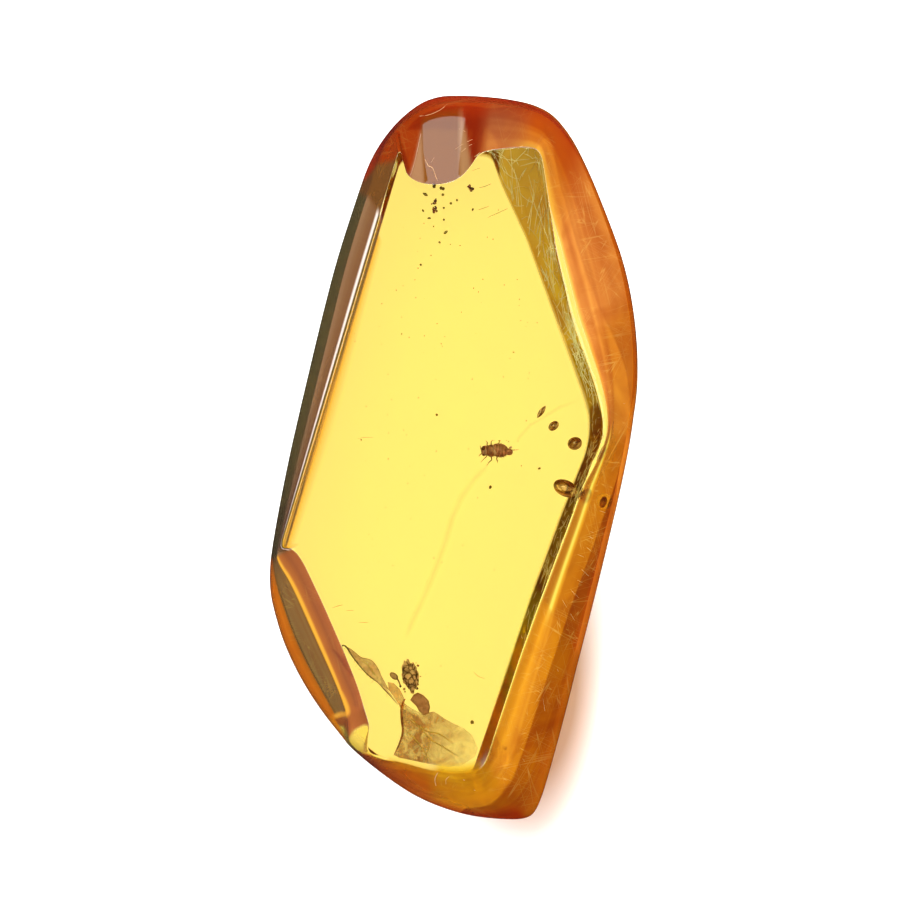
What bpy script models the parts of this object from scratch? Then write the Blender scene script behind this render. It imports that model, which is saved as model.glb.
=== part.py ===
"""A polished slab of amber with a small insect and a few plant crumbs sealed inside it.

The amber is parted level, through open pockets, so that every sealed piece is a solid of its own.
Seen from above, +Y is towards the narrow polished end and +X is the side with the long shoulder.
"""

import math

import bmesh
import bpy
import numpy as np
from mathutils import Matrix, Vector, noise

MM = 0.001

# Driving dimensions, in millimetres.
THICKNESS = 8.0
PARTING_HEIGHT = 5.0
PARTING_GAP = 0.3
POCKET_DEPTH = 1.7  # the pockets' full height, half of it on each side of the parting
STATIONS = 120  # steps round the slab
TABLE_SOFTENING = 0.12  # how far the polish rounds each edge
SHOULDER_SOFTENING = 0.25
GIRDLE_SOFTENING = 0.45
BASE_SOFTENING = 0.12
GIRDLE_ALLOWANCE = 0.2  # the girdle stands out by what its softening takes off, to keep its size
INSECT_CENTRE = (2.02, 0.30, PARTING_HEIGHT)
INSECT_ROLL = 28.0  # degrees the insect leans over, so that its near legs show from above

# The four edges that shape the slab, clockwise from above. Each point is (x, y, z).
# The table is the flat top, the girdle is the widest line, and the shoulder lies between them.
TABLE = [
    (-2.6, 14.9, 8.0),
    (-2.35, 13.95, 8.0),
    (-1.8, 13.45, 8.0),
    (-0.7, 13.35, 8.0),
    (0.25, 13.65, 8.0),
    (0.85, 14.35, 8.0),
    (1.2, 14.95, 8.0),
    (2.25, 15.15, 8.0),
    (3.75, 15.2, 8.0),
    (4.25, 14.9, 8.0),
    (4.6, 12.5, 8.0),
    (5.05, 10.05, 8.0),
    (5.85, 6.75, 8.0),
    (7.0, 3.75, 8.0),
    (7.4, 2.45, 8.0),
    (7.25, 1.4, 8.0),
    (6.35, -1.6, 8.0),
    (4.5, -7.15, 8.0),
    (1.7, -15.25, 8.0),
    (1.15, -15.9, 8.0),
    (0.0, -16.0, 8.0),
    (-1.45, -15.45, 8.0),
    (-3.05, -14.8, 8.0),
    (-4.0, -14.45, 8.0),
    (-4.25, -13.95, 8.0),
    (-4.15, -13.15, 8.0),
    (-4.9, -11.05, 8.0),
    (-5.7, -9.1, 8.0),
    (-6.75, -6.85, 8.0),
    (-7.55, -5.0, 8.0),
    (-8.0, -4.4, 8.0),
    (-8.45, -4.45, 8.0),
]
SHOULDER = [
    (-3.6, 15.15, 6.1),
    (-2.8, 16.3, 6.0),
    (-1.7, 17.05, 6.0),
    (-0.7, 17.3, 6.0),
    (0.75, 17.4, 6.2),
    (2.25, 17.3, 6.4),
    (3.7, 17.0, 6.4),
    (4.8, 16.35, 6.3),
    (5.85, 14.7, 5.8),
    (6.9, 12.0, 5.6),
    (7.7, 9.55, 5.5),
    (8.2, 6.8, 5.5),
    (8.4, 4.3, 5.5),
    (8.2, 1.9, 5.5),
    (7.2, -2.3, 5.4),
    (5.8, -6.6, 5.4),
    (4.5, -11.0, 5.3),
    (3.0, -15.7, 5.3),
    (2.25, -16.65, 5.3),
    (1.15, -17.05, 5.4),
    (-0.2, -16.75, 5.5),
    (-1.7, -16.25, 5.7),
    (-3.0, -15.4, 5.9),
    (-4.4, -14.55, 6.2),
    (-5.2, -13.95, 6.7),
    (-5.5, -13.35, 7.1),
    (-5.3, -12.55, 7.4),
    (-5.85, -10.9, 7.4),
    (-6.9, -8.55, 7.4),
    (-8.0, -6.1, 7.2),
    (-8.7, -5.1, 6.6),
    (-8.75, -4.6, 6.2),
    (-7.85, -0.7, 6.1),
    (-6.95, 3.0, 6.1),
    (-5.3, 9.7, 6.1),
]
GIRDLE = [
    (-0.2, 18.0, 3.8),
    (2.25, 17.8, 4.0),
    (4.5, 17.35, 4.1),
    (5.7, 16.15, 4.2),
    (6.7, 14.3, 4.2),
    (7.65, 12.0, 4.2),
    (8.55, 9.55, 4.2),
    (9.05, 6.8, 4.2),
    (9.15, 3.85, 4.1),
    (8.8, 0.9, 4.0),
    (8.05, -2.8, 4.0),
    (7.0, -7.25, 3.9),
    (5.85, -11.7, 3.9),
    (4.8, -15.45, 3.8),
    (4.15, -17.5, 3.6),
    (3.6, -18.0, 3.4),
    (2.25, -17.95, 3.2),
    (0.25, -17.6, 3.0),
    (-1.6, -16.9, 2.9),
    (-3.2, -15.9, 2.9),
    (-5.45, -13.95, 3.4),
    (-7.15, -11.85, 4.0),
    (-8.4, -9.5, 4.2),
    (-9.0, -7.4, 4.1),
    (-9.15, -6.3, 3.8),
    (-9.0, -4.65, 3.4),
    (-8.25, -0.6, 3.2),
    (-7.4, 3.1, 3.2),
    (-6.55, 6.8, 3.2),
    (-5.8, 9.8, 3.2),
    (-4.9, 12.6, 3.2),
    (-4.15, 14.9, 3.3),
    (-3.0, 16.45, 3.4),
    (-1.9, 17.45, 3.6),
    (-1.1, 17.85, 3.7),
]
BASE = [
    (-2.7, 14.75, 0.0),
    (-0.7, 15.25, 0.0),
    (1.65, 14.85, 0.0),
    (7.2, 2.35, 0.0),
    (1.25, -15.15, 0.0),
    (-0.7, -15.7, 0.0),
    (-2.7, -15.05, 0.0),
    (-4.1, -14.05, 0.0),
    (-5.15, -11.95, 0.0),
    (-6.75, -9.0, 0.0),
    (-7.85, -6.55, 0.0),
    (-8.5, -4.85, 0.0),
]

# Pockets as (middle x, middle y, length, width, turn in degrees).
POCKETS = {
    "insect_pocket": (2.2, 0.2, 2.9, 2.2, 0.0),
    "crumb_pocket": (-2.2, -11.3, 2.9, 3.9, 15.0),
    "strip_pocket": (-4.15, -10.45, 4.0, 1.5, -44.0),
}


def material(name, colour, roughness, transmission=0.0):
    made = bpy.data.materials.new(name)
    made.use_nodes = True
    shader = made.node_tree.nodes["Principled BSDF"]
    shader.inputs["Base Color"].default_value = (*colour, 1.0)
    shader.inputs["Roughness"].default_value = roughness
    shader.inputs["Metallic"].default_value = 0.0
    shader.inputs["Transmission Weight"].default_value = transmission
    shader.inputs["IOR"].default_value = 1.54 if transmission else 1.5
    return made


def place(name, shape, finish=None, sharp=30.0):
    """Closes off a bmesh as an object of the scene, with its faces pointing out."""
    bmesh.ops.recalc_face_normals(shape, faces=shape.faces)
    mesh = bpy.data.meshes.new(name)
    shape.to_mesh(mesh)
    shape.free()
    mesh.shade_smooth()
    mesh.set_sharp_from_angle(angle=math.radians(sharp))
    made = bpy.data.objects.new(name, mesh)
    bpy.context.scene.collection.objects.link(made)
    if finish:
        mesh.materials.append(finish)
    return made


def as_helper(made):
    made.hide_render = True
    made.display_type = "WIRE"
    return made


def cut(target, cutter):
    modifier = target.modifiers.new(cutter.name, "BOOLEAN")
    modifier.operation = "DIFFERENCE"
    modifier.solver = "EXACT"
    modifier.object = cutter


def join(target, others):
    for other in others:
        modifier = target.modifiers.new(other.name, "BOOLEAN")
        modifier.operation = "UNION"
        modifier.solver = "EXACT"
        modifier.object = other


# The slab


def edge_at(points, angles):
    """Radius and height, at each angle round the Z axis, of the closed edge through the points."""
    corners = np.array(points)
    sides = np.roll(corners, -1, axis=0) - corners
    along = np.concatenate([corners + sides * share for share in np.arange(12) / 12])
    turn = np.arctan2(along[:, 1], along[:, 0])
    reach = np.hypot(along[:, 0], along[:, 1])
    full = 2 * math.pi
    radii = np.interp(angles, turn, reach, period=full)
    heights = np.interp(angles, turn, along[:, 2], period=full)
    return radii, heights


def slab():
    """The whole slab: four edges, one above another, joined by bands of facets."""
    angles = np.arange(STATIONS) * 2 * math.pi / STATIONS
    shape = bmesh.new()
    loops = []
    for points, allowance in ((BASE, 0.0), (GIRDLE, GIRDLE_ALLOWANCE), (SHOULDER, 0.0), (TABLE, 0.0)):
        reach, height = edge_at(points, angles)
        reach = reach + allowance
        made = bmesh.ops.create_circle(shape, segments=STATIONS, radius=1.0)["verts"]
        for vertex, angle, radius, level in zip(made, angles, reach, height):
            vertex.co = Vector((radius * math.cos(angle), radius * math.sin(angle), level)) * MM
        loops.append([edge for edge in shape.edges if edge.verts[0] in made])
    for lower, upper in zip(loops, loops[1:]):
        bmesh.ops.bridge_loops(shape, edges=lower + upper)
    for rim in (loops[0], loops[-1]):
        bmesh.ops.contextual_create(shape, geom=rim)
    softenings = (BASE_SOFTENING, GIRDLE_SOFTENING, SHOULDER_SOFTENING, TABLE_SOFTENING)
    for loop, softening in zip(loops, softenings):
        bmesh.ops.bevel(
            shape, geom=loop, offset=softening * MM, segments=1, profile=0.5, affect="EDGES", material=-1
        )
    return shape


def half(name, side, finish):
    """The part of the slab above (side 1) or below (side -1) the parting gap."""
    shape = slab()
    level = (PARTING_HEIGHT + side * PARTING_GAP / 2) * MM
    found = bmesh.ops.bisect_plane(
        shape,
        geom=shape.verts[:] + shape.edges[:] + shape.faces[:],
        dist=1e-7,
        plane_co=(0, 0, level),
        plane_no=(0, 0, side),
        clear_inner=True,
    )
    rim = [item for item in found["geom_cut"] if isinstance(item, bmesh.types.BMEdge)]
    bmesh.ops.contextual_create(shape, geom=rim)
    return place(name, shape, finish, sharp=14.0)


def pocket(name, middle_x, middle_y, length, width, turn):
    """An oval hollow across the parting that leaves room round a sealed piece."""
    shape = bmesh.new()
    bmesh.ops.create_cone(
        shape, segments=24, radius1=0.5, radius2=0.5, depth=POCKET_DEPTH * MM, cap_ends=True
    )
    bmesh.ops.scale(shape, vec=(length * MM, width * MM, 1.0), verts=shape.verts)
    bmesh.ops.rotate(shape, matrix=Matrix.Rotation(math.radians(turn), 3, "Z"), verts=shape.verts)
    made = as_helper(place(name, shape))
    made.location = Vector((middle_x, middle_y, PARTING_HEIGHT)) * MM
    return made


# The insect, head towards -X, in millimetres from the middle of its body before it is rolled and placed


def ball(name, middle, radii, turn=0.0, columns=14, rows=9):
    shape = bmesh.new()
    bmesh.ops.create_uvsphere(shape, u_segments=columns, v_segments=rows, radius=MM)
    bmesh.ops.rotate(shape, matrix=Matrix.Rotation(math.pi / 2, 3, "Y"), verts=shape.verts)
    bmesh.ops.scale(shape, vec=radii, verts=shape.verts)
    bmesh.ops.rotate(shape, matrix=Matrix.Rotation(math.radians(turn), 3, "Z"), verts=shape.verts)
    bmesh.ops.translate(shape, vec=Vector(middle) * MM, verts=shape.verts)
    return place(name, shape)


def limb(name, points, radii, sides=6):
    """A tapering round limb through the points."""
    shape = bmesh.new()
    spots = [Vector(point) for point in points]
    rings = []
    for index, (spot, radius) in enumerate(zip(spots, radii)):
        ahead = spots[min(index + 1, len(spots) - 1)] - spots[max(index - 1, 0)]
        made = bmesh.ops.create_circle(shape, segments=sides, radius=radius * MM)["verts"]
        turned = Matrix.Translation(spot * MM) @ ahead.to_track_quat("Z", "Y").to_matrix().to_4x4()
        bmesh.ops.transform(shape, matrix=turned, verts=made)
        rings.append([edge for edge in shape.edges if edge.verts[0] in made])
    for first, second in zip(rings, rings[1:]):
        bmesh.ops.bridge_loops(shape, edges=first + second)
    for rim in (rings[0], rings[-1]):
        bmesh.ops.contextual_create(shape, geom=rim)
    return place(name, shape)


BODY = {
    "head": ((-0.60, 0.00, 0.02), (0.20, 0.22, 0.19), 0.0),
    "thorax": ((-0.30, 0.01, 0.05), (0.26, 0.27, 0.25), -12.0),
    "tail_lobe": ((0.58, -0.09, -0.03), (0.19, 0.15, 0.13), -8.0),
}
ABDOMEN = ((0.10, 0.00, 0.0), (0.46, 0.31, 0.26), -6.0)
LEG_RADII = (0.034, 0.028, 0.022, 0.017)
LEGS = {
    "near_front": [(-0.46, -0.12, -0.1), (-0.54, -0.26, -0.16), (-0.64, -0.38, -0.26), (-0.8, -0.56, -0.3)],
    "near_middle": [(-0.3, -0.14, -0.12), (-0.3, -0.36, -0.14), (-0.44, -0.52, -0.26), (-0.56, -0.68, -0.3)],
    "near_hind": [(-0.06, -0.16, -0.12), (0.02, -0.36, -0.14), (-0.06, -0.46, -0.28), (0.02, -0.6, -0.34)],
    "far_front": [(-0.44, 0.12, -0.08), (-0.52, 0.28, -0.1), (-0.5, 0.38, -0.24), (-0.6, 0.46, -0.34)],
    "far_middle": [(-0.28, 0.14, -0.1), (-0.3, 0.38, -0.06), (-0.3, 0.5, -0.18), (-0.22, 0.58, -0.32)],
    "far_hind": [(-0.04, 0.16, -0.1), (0.06, 0.34, -0.12), (0.12, 0.42, -0.26), (0.26, 0.48, -0.36)],
}
FEELERS = {
    "near_feeler": [(-0.72, -0.08, 0.08), (-0.82, -0.12, 0.14), (-0.90, -0.20, 0.14)],
    "far_feeler": [(-0.72, 0.08, 0.08), (-0.80, 0.18, 0.14), (-0.84, 0.30, 0.16)],
}
FEELER_RADII = (0.026, 0.020, 0.016)
TAIL_BRISTLE = [(0.68, 0.02, 0.02), (0.88, 0.04, 0.04), (1.06, 0.05, 0.04)]


def insect(finish):
    middle, radii, turn = ABDOMEN
    body = ball("insect", middle, radii, turn, columns=18, rows=12)
    body.data.materials.append(finish)
    others = [ball(name, *values) for name, values in BODY.items()]
    others += [limb(name, points, LEG_RADII) for name, points in LEGS.items()]
    others += [limb(name, points, FEELER_RADII) for name, points in FEELERS.items()]
    others.append(limb("tail_bristle", TAIL_BRISTLE, FEELER_RADII))
    for other in others:
        as_helper(other).parent = body
    join(body, others)
    body.location = Vector(INSECT_CENTRE) * MM
    body.rotation_euler = (math.radians(INSECT_ROLL), 0.0, 0.0)
    return body


# The plant crumbs


def crumb(name, middle, radii, turn, roughness, finish):
    """A rough lump, such as a bit of rotten wood."""
    shape = bmesh.new()
    bmesh.ops.create_icosphere(shape, subdivisions=3, radius=1.0)
    for vertex in shape.verts:
        bump = noise.noise(vertex.co * 2.3) + 0.5 * noise.noise(vertex.co * 5.1)
        vertex.co *= 1.0 + roughness * bump
    bmesh.ops.scale(shape, vec=Vector(radii) * MM, verts=shape.verts)
    bmesh.ops.rotate(shape, matrix=Matrix.Rotation(math.radians(turn), 3, "Z"), verts=shape.verts)
    bmesh.ops.translate(shape, vec=Vector(middle) * MM, verts=shape.verts)
    return place(name, shape, finish, sharp=40.0)


def flake(name, outline, level, thickness, tilt, finish):
    """A thin flat chip with a broken outline, tilted about its own length."""
    shape = bmesh.new()
    rim = [shape.verts.new(Vector((x, y, 0.0)) * MM) for x, y in outline]
    face = shape.faces.new(rim)
    raised = bmesh.ops.extrude_face_region(shape, geom=[face])["geom"]
    lifted = [item for item in raised if isinstance(item, bmesh.types.BMVert)]
    bmesh.ops.translate(shape, vec=(0, 0, thickness * MM), verts=lifted)
    middle = sum((vertex.co for vertex in shape.verts), Vector()) / len(shape.verts)
    lean = Matrix.Rotation(math.radians(tilt), 3, "X")
    bmesh.ops.rotate(shape, cent=middle, matrix=lean, verts=shape.verts)
    bmesh.ops.translate(shape, vec=(0, 0, level * MM), verts=shape.verts)
    return place(name, shape, finish)


BARK_CRUMB = {"middle": (-2.15, -10.75, 5.05), "radii": (0.42, 0.86, 0.34), "turn": 12.0, "roughness": 0.34}
BARK_FLAKE = [
    (-2.15, -11.62),
    (-1.85, -11.60),
    (-1.35, -11.85),
    (-1.20, -12.10),
    (-1.20, -12.60),
    (-1.50, -12.66),
    (-1.75, -12.45),
    (-1.95, -12.05),
    (-2.30, -11.85),
]
BARK_STRIP = [
    (-5.35, -9.40),
    (-4.95, -9.55),
    (-4.45, -9.75),
    (-4.05, -9.95),
    (-3.70, -10.35),
    (-3.50, -11.05),
    (-3.15, -11.60),
    (-3.30, -11.68),
    (-3.80, -11.15),
    (-4.40, -10.55),
    (-4.95, -9.98),
]
SEED_POD = {"middle": (-2.98, -10.72, 5.1), "radii": (0.24, 0.14, 0.13), "turn": -38.0}
POD_STEM = [(-2.86, -10.80, 5.1), (-2.74, -10.98, 5.1), (-2.66, -11.20, 5.08)]
STEM_RADII = (0.05, 0.04, 0.03)


def seed_pod(finish):
    made = ball("seed_pod", SEED_POD["middle"], SEED_POD["radii"], SEED_POD["turn"])
    made.data.materials.append(finish)
    join(made, [as_helper(limb("pod_stem", POD_STEM, STEM_RADII))])


def main():
    for found in list(bpy.data.objects):
        bpy.data.objects.remove(found, do_unlink=True)
    resin = material("amber", (0.98, 0.72, 0.16), 0.02, transmission=1.0)
    cuticle = material("insect_cuticle", (0.16, 0.06, 0.03), 0.35)
    bark = material("bark", (0.17, 0.09, 0.05), 0.8)
    upper = half("amber_upper", 1, resin)
    lower = half("amber_lower", -1, resin)
    for name, values in POCKETS.items():
        hollow = pocket(name, *values)
        cut(upper, hollow)
        cut(lower, hollow)
    insect(cuticle)
    crumb("bark_crumb", finish=bark, **BARK_CRUMB)
    flake("bark_flake", BARK_FLAKE, 4.95, 0.12, 8.0, bark)
    flake("bark_strip", BARK_STRIP, 4.95, 0.12, -12.0, bark)
    seed_pod(bark)


main()
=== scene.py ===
import math
import random

import bmesh
import bpy
import numpy as np
from mathutils import Matrix, Vector, noise


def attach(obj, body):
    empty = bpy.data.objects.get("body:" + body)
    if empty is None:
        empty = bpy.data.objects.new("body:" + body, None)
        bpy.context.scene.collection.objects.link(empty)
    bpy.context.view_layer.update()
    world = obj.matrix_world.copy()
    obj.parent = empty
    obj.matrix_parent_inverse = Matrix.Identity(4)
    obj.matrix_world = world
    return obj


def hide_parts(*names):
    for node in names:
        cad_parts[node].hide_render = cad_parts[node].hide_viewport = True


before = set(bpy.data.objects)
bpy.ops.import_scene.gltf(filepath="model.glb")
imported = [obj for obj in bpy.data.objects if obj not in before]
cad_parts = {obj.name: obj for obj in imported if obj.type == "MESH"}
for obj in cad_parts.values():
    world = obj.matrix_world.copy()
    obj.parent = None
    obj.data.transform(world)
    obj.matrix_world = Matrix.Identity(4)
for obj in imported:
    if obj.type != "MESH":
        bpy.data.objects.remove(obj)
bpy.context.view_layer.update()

scene = bpy.context.scene
mm = 0.001
fullTurn = 2 * math.pi


def finishPiece(name, shape, materials, smoothAngle=40.0):
    mesh = bpy.data.meshes.new(name)
    shape.to_mesh(mesh)
    shape.free()
    mesh.shade_smooth()
    mesh.set_sharp_from_angle(angle=math.radians(smoothAngle))
    for made in materials:
        mesh.materials.append(made)
    piece = bpy.data.objects.new(name, mesh)
    scene.collection.objects.link(piece)
    return piece


def newMaterial(name):
    made = bpy.data.materials.new(name)
    made.use_nodes = True
    return made, made.node_tree, made.node_tree.nodes["Principled BSDF"]


def joinMath(tree, operation, first, second):
    node = tree.nodes.new("ShaderNodeMath")
    node.operation = operation
    for socket, value in zip(node.inputs, (first, second)):
        if isinstance(value, (int, float)):
            socket.default_value = value
        else:
            tree.links.new(value, socket)
    return node.outputs[0]


def mixColour(tree, share, first, second):
    node = tree.nodes.new("ShaderNodeMix")
    node.data_type = "RGBA"
    for socket, value in zip((node.inputs[0], node.inputs[6], node.inputs[7]), (share, first, second)):
        if isinstance(value, (int, float, tuple)):
            socket.default_value = value
        else:
            tree.links.new(value, socket)
    return node.outputs[2]


def mapped(tree, value, low, high, toLow=0.0, toHigh=1.0):
    node = tree.nodes.new("ShaderNodeMapRange")
    for socket, given in zip(node.inputs[1:5], (low, high, toLow, toHigh)):
        socket.default_value = given
    tree.links.new(value, node.inputs[0])
    return node.outputs[0]


# the slab of amber: four outlines, one above the other, joined by rounded profiles
slab = {
    "stations": 900,  # steps round the slab
    "cornerSteps": 6, "wallSteps": (4, 5, 6, 12, 18),  # rings round each corner and up each wall below it
    "girdleAllowance": 0.16,  # what the rounding of the girdle takes off is added first
    "underShare": [(0, 0.6), (60, 0.6), (69, 0.82), (82, 0.82), (90, 0.6)],  # how far out the undercut goes
    "underSlope": 0.74,  # the rise per mm of its flat part on the right
    "baseInset": 0.9, "tableInset": 0.6, "tableSteps": 8,
}

tableEdge = [
    (-2.66, 15.3, 8.0), (-2.45, 13.95, 8.0), (-1.8, 13.45, 8.0), (-0.7, 13.35, 8.0), (0.25, 13.65, 8.0),
    (0.85, 14.35, 8.0), (1.2, 14.95, 8.0), (2.25, 15.15, 8.0), (3.75, 15.2, 8.0), (4.25, 14.9, 8.0),
    (4.6, 12.5, 8.0), (5.05, 10.05, 8.0), (5.85, 6.75, 8.0), (7.0, 3.65, 8.0), (7.3, 2.6, 8.0), (7.44, 1.7, 8.0),
    (7.36, 0.85, 8.0), (6.84, -0.3, 8.0), (6.22, -1.52, 8.0), (5.68, -3.07, 8.0), (4.19, -7.02, 8.0),
    (3.3, -9.49, 8.0), (2.15, -12.96, 8.0), (1.5, -15.0, 8.0), (1.0, -15.4, 8.0),
    (0.0, -15.5, 8.0), (-1.45, -15.25, 8.0), (-2.65, -14.9, 8.0), (-3.49, -14.76, 8.0), (-4.3, -14.42, 8.0),
    (-4.3, -13.85, 8.0), (-4.1, -13.25, 8.0), (-4.78, -11.05, 8.0), (-5.58, -9.1, 8.0),
    (-6.5, -7.0, 8.0), (-7.45, -5.0, 8.0), (-7.95, -4.4, 8.0), (-8.58, -4.45, 8.0),
]
shoulderEdge = [
    (-3.6, 15.15, 6.1), (-2.8, 16.3, 6.0), (-1.7, 17.05, 6.0), (-0.7, 17.3, 6.0), (0.75, 17.4, 6.2),
    (2.25, 17.3, 6.4), (3.7, 17.0, 6.4), (4.8, 16.35, 6.3), (5.85, 14.7, 5.8), (6.9, 12.0, 5.6),
    (7.7, 9.55, 5.5), (8.2, 6.8, 5.5), (8.4, 4.3, 5.5), (8.2, 1.9, 5.5), (7.2, -2.3, 5.4),
    (5.8, -6.6, 5.4), (4.5, -11.0, 5.3), (3.0, -15.7, 5.3), (2.25, -16.65, 5.3), (1.15, -17.05, 5.4),
    (-0.2, -16.75, 5.5), (-1.7, -16.25, 5.7), (-3.0, -15.3, 6.1),
    (-4.3, -14.6, 7.4), (-5.2, -13.95, 7.8), (-5.2, -13.25, 7.6), (-5.25, -12.5, 7.4), (-5.85, -10.9, 7.4),
    (-6.9, -8.55, 7.4), (-8.0, -6.1, 7.2), (-8.7, -5.1, 6.6), (-8.75, -4.6, 6.2),
    (-7.85, -0.7, 6.1), (-6.95, 3.0, 6.1), (-5.3, 9.7, 6.1),
]
girdleEdge = [
    (-0.2, 18.0, 3.8), (2.25, 17.8, 4.0), (4.5, 17.35, 4.1), (5.7, 16.15, 4.2), (6.7, 14.3, 4.2),
    (7.65, 12.0, 4.2), (8.55, 9.55, 4.2), (9.05, 6.8, 4.2), (9.15, 3.85, 4.1), (8.8, 0.9, 4.0),
    (8.05, -2.8, 4.0), (7.0, -7.25, 3.9), (5.85, -11.7, 3.9), (4.8, -15.45, 3.8), (4.15, -17.5, 3.6),
    (3.6, -18.0, 3.4), (2.25, -17.95, 3.2), (0.25, -17.6, 3.0), (-1.6, -16.9, 2.9), (-3.2, -15.9, 2.9),
    (-5.45, -13.95, 3.4), (-7.15, -11.85, 4.0), (-8.4, -9.5, 4.2), (-9.0, -7.4, 4.1), (-9.15, -6.3, 3.8),
    (-9.0, -4.65, 3.4), (-8.25, -0.6, 3.2), (-7.4, 3.1, 3.2), (-6.55, 6.8, 3.2), (-5.8, 9.8, 3.2),
    (-4.9, 12.6, 3.2), (-4.15, 14.9, 3.3), (-3.0, 16.45, 3.4), (-1.9, 17.45, 3.6), (-1.1, 17.85, 3.7),
]
baseEdge = [
    (-2.7, 14.75, 0.0), (-0.7, 15.25, 0.0), (1.85, 14.98, 0.0), (2.3, 13.65, 0.0), (3.54, 10.98, 0.0),
    (5.2, 6.48, 0.0), (6.35, 3.36, 0.0), (6.61, 2.52, 0.0), (6.72, 1.83, 0.0), (6.7, 1.15, 0.0),
    (6.51, 0.22, 0.0), (5.91, -1.27, 0.0), (5.2, -3.07, 0.0), (3.73, -7.02, 0.0), (1.16, -14.8, 0.0),
    (0.95, -15.5, 0.0), (0.37, -15.85, 0.0), (-0.37, -15.9, 0.0), (-1.41, -15.6, 0.0), (-2.7, -15.15, 0.0),
    (-3.7, -14.85, 0.0), (-4.85, -13.95, 0.0), (-5.5, -12.4, 0.0), (-6.75, -9.0, 0.0), (-7.85, -6.55, 0.0),
    (-8.5, -4.85, 0.0),
]


def softened(points, cutBack, passes=3):  # cuts each corner back, less at each pass
    loop = np.array(points)
    for _ in range(passes):
        sides = np.roll(loop, -1, axis=0) - loop
        reach = np.linalg.norm(sides[:, :2], axis=1, keepdims=True)
        share = np.minimum(0.25, cutBack / reach)
        loop = np.stack([loop + sides * share, loop + sides * (1 - share)], axis=1).reshape(-1, 3)
        cutBack /= 2
    return loop


def loopAt(points, angles, cutBack):  # how far out and how high an outline runs at each angle
    loop = softened(points, cutBack)
    sides = np.roll(loop, -1, axis=0) - loop
    along = np.stack([loop + sides * share for share in np.arange(64) / 64], axis=1).reshape(-1, 3)
    turn = np.arctan2(along[:, 1], along[:, 0])
    reach = np.interp(angles, turn, np.hypot(along[:, 0], along[:, 1]), period=fullTurn)
    height = np.interp(angles, turn, along[:, 2], period=fullTurn)
    return np.stack([reach, height], axis=1)


def byAngle(angles, stops):  # a value that changes round the slab, from (degrees, value) stops
    places, values = zip(*stops)
    return np.interp(np.degrees(angles) % 360, places, values, period=360)


rounding = {  # how far each edge is cut back, in mm, as it goes round from +X
    "base": [(0, 0.12), (360, 0.12)],
    "under": [(0, 0.5), (360, 0.5)],
    "girdle": [(0, 0.9), (70, 0.9), (100, 1.0), (110, 0.5), (205, 0.5), (215, 0.9), (245, 1.0),
               (262, 0.6), (285, 0.6), (300, 0.9), (359, 0.9)],
    "shoulder": [(0, 1.1), (60, 1.2), (74, 0.7), (100, 0.5), (106, 0.15), (206, 0.15), (211, 0.22), (244, 0.22),
                 (252, 0.7), (290, 1.1)],
    "table": [(0, 0.2), (20, 0.3), (64, 0.35), (69, 0.03), (104, 0.02), (107, 0.13), (206, 0.13), (211, 0.05),
              (257, 0.05), (350, 0.06), (358, 0.2)],
}


def slabCorners(angles):
    base = loopAt(baseEdge, angles, 0.2)
    girdle = loopAt(girdleEdge, angles, 1.2)
    shoulder = loopAt(shoulderEdge, angles, 0.8)
    table = loopAt(tableEdge, angles, 0.3)
    girdle[:, 0] += slab["girdleAllowance"]
    share = byAngle(angles, slab["underShare"])[:, None]
    under = base + (girdle - base) * share
    start, end = Vector(baseEdge[3][:2]), Vector(baseEdge[6][:2])  # the base's long upper right side
    edge = (end - start).normalized()
    across = Vector((-edge.y, edge.x))
    eastward = under[:, 0] * np.cos(angles) - start.x
    northward = under[:, 0] * np.sin(angles) - start.y
    out = eastward * across.x + northward * across.y
    flat = np.clip(out * slab["underSlope"], 0.2, 3.2)
    weight = np.clip(byAngle(angles, [(0, 0), (14, 0), (22, 1), (80, 1), (86, 0), (359, 0)]), 0, 1)
    under[:, 1] += (flat - under[:, 1]) * weight
    return base, under, girdle, shoulder, table


def profileRings(angles):
    corners = slabCorners(angles)
    inner = corners[0] - np.array((slab["baseInset"], 0))
    inside = corners[-1] - np.array((slab["tableInset"], 0))
    points = [inner, *corners, inside]
    rings = [(0.0, inner)]
    steps = slab["cornerSteps"]
    last = inner
    for number, name in enumerate(rounding, 1):
        corner = points[number]
        cut = byAngle(angles, rounding[name])[:, None]
        ends = []
        for other in (points[number - 1], points[number + 1]):
            side = other - corner
            reach = np.linalg.norm(side, axis=1, keepdims=True)
            ends.append(corner + side * np.minimum(0.48, cut / reach))
        start, stop = ends
        wallSteps = slab["wallSteps"][number - 1]
        for step in range(1, wallSteps):
            share = step / wallSteps
            rings.append((number - 0.9 + 0.8 * share, last + (start - last) * share))
        for step in range(steps + 1):
            share = step / steps
            place = start * (1 - share) ** 2 + corner * 2 * share * (1 - share) + stop * share ** 2
            rings.append((number - 0.1 + 0.2 * share, place))
        last = stop
    for step in range(1, slab["tableSteps"] + 1):
        share = step / slab["tableSteps"]
        rings.append((len(rounding) + 0.1 + 0.9 * share, last + (inside - last) * share))
    return rings


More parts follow.
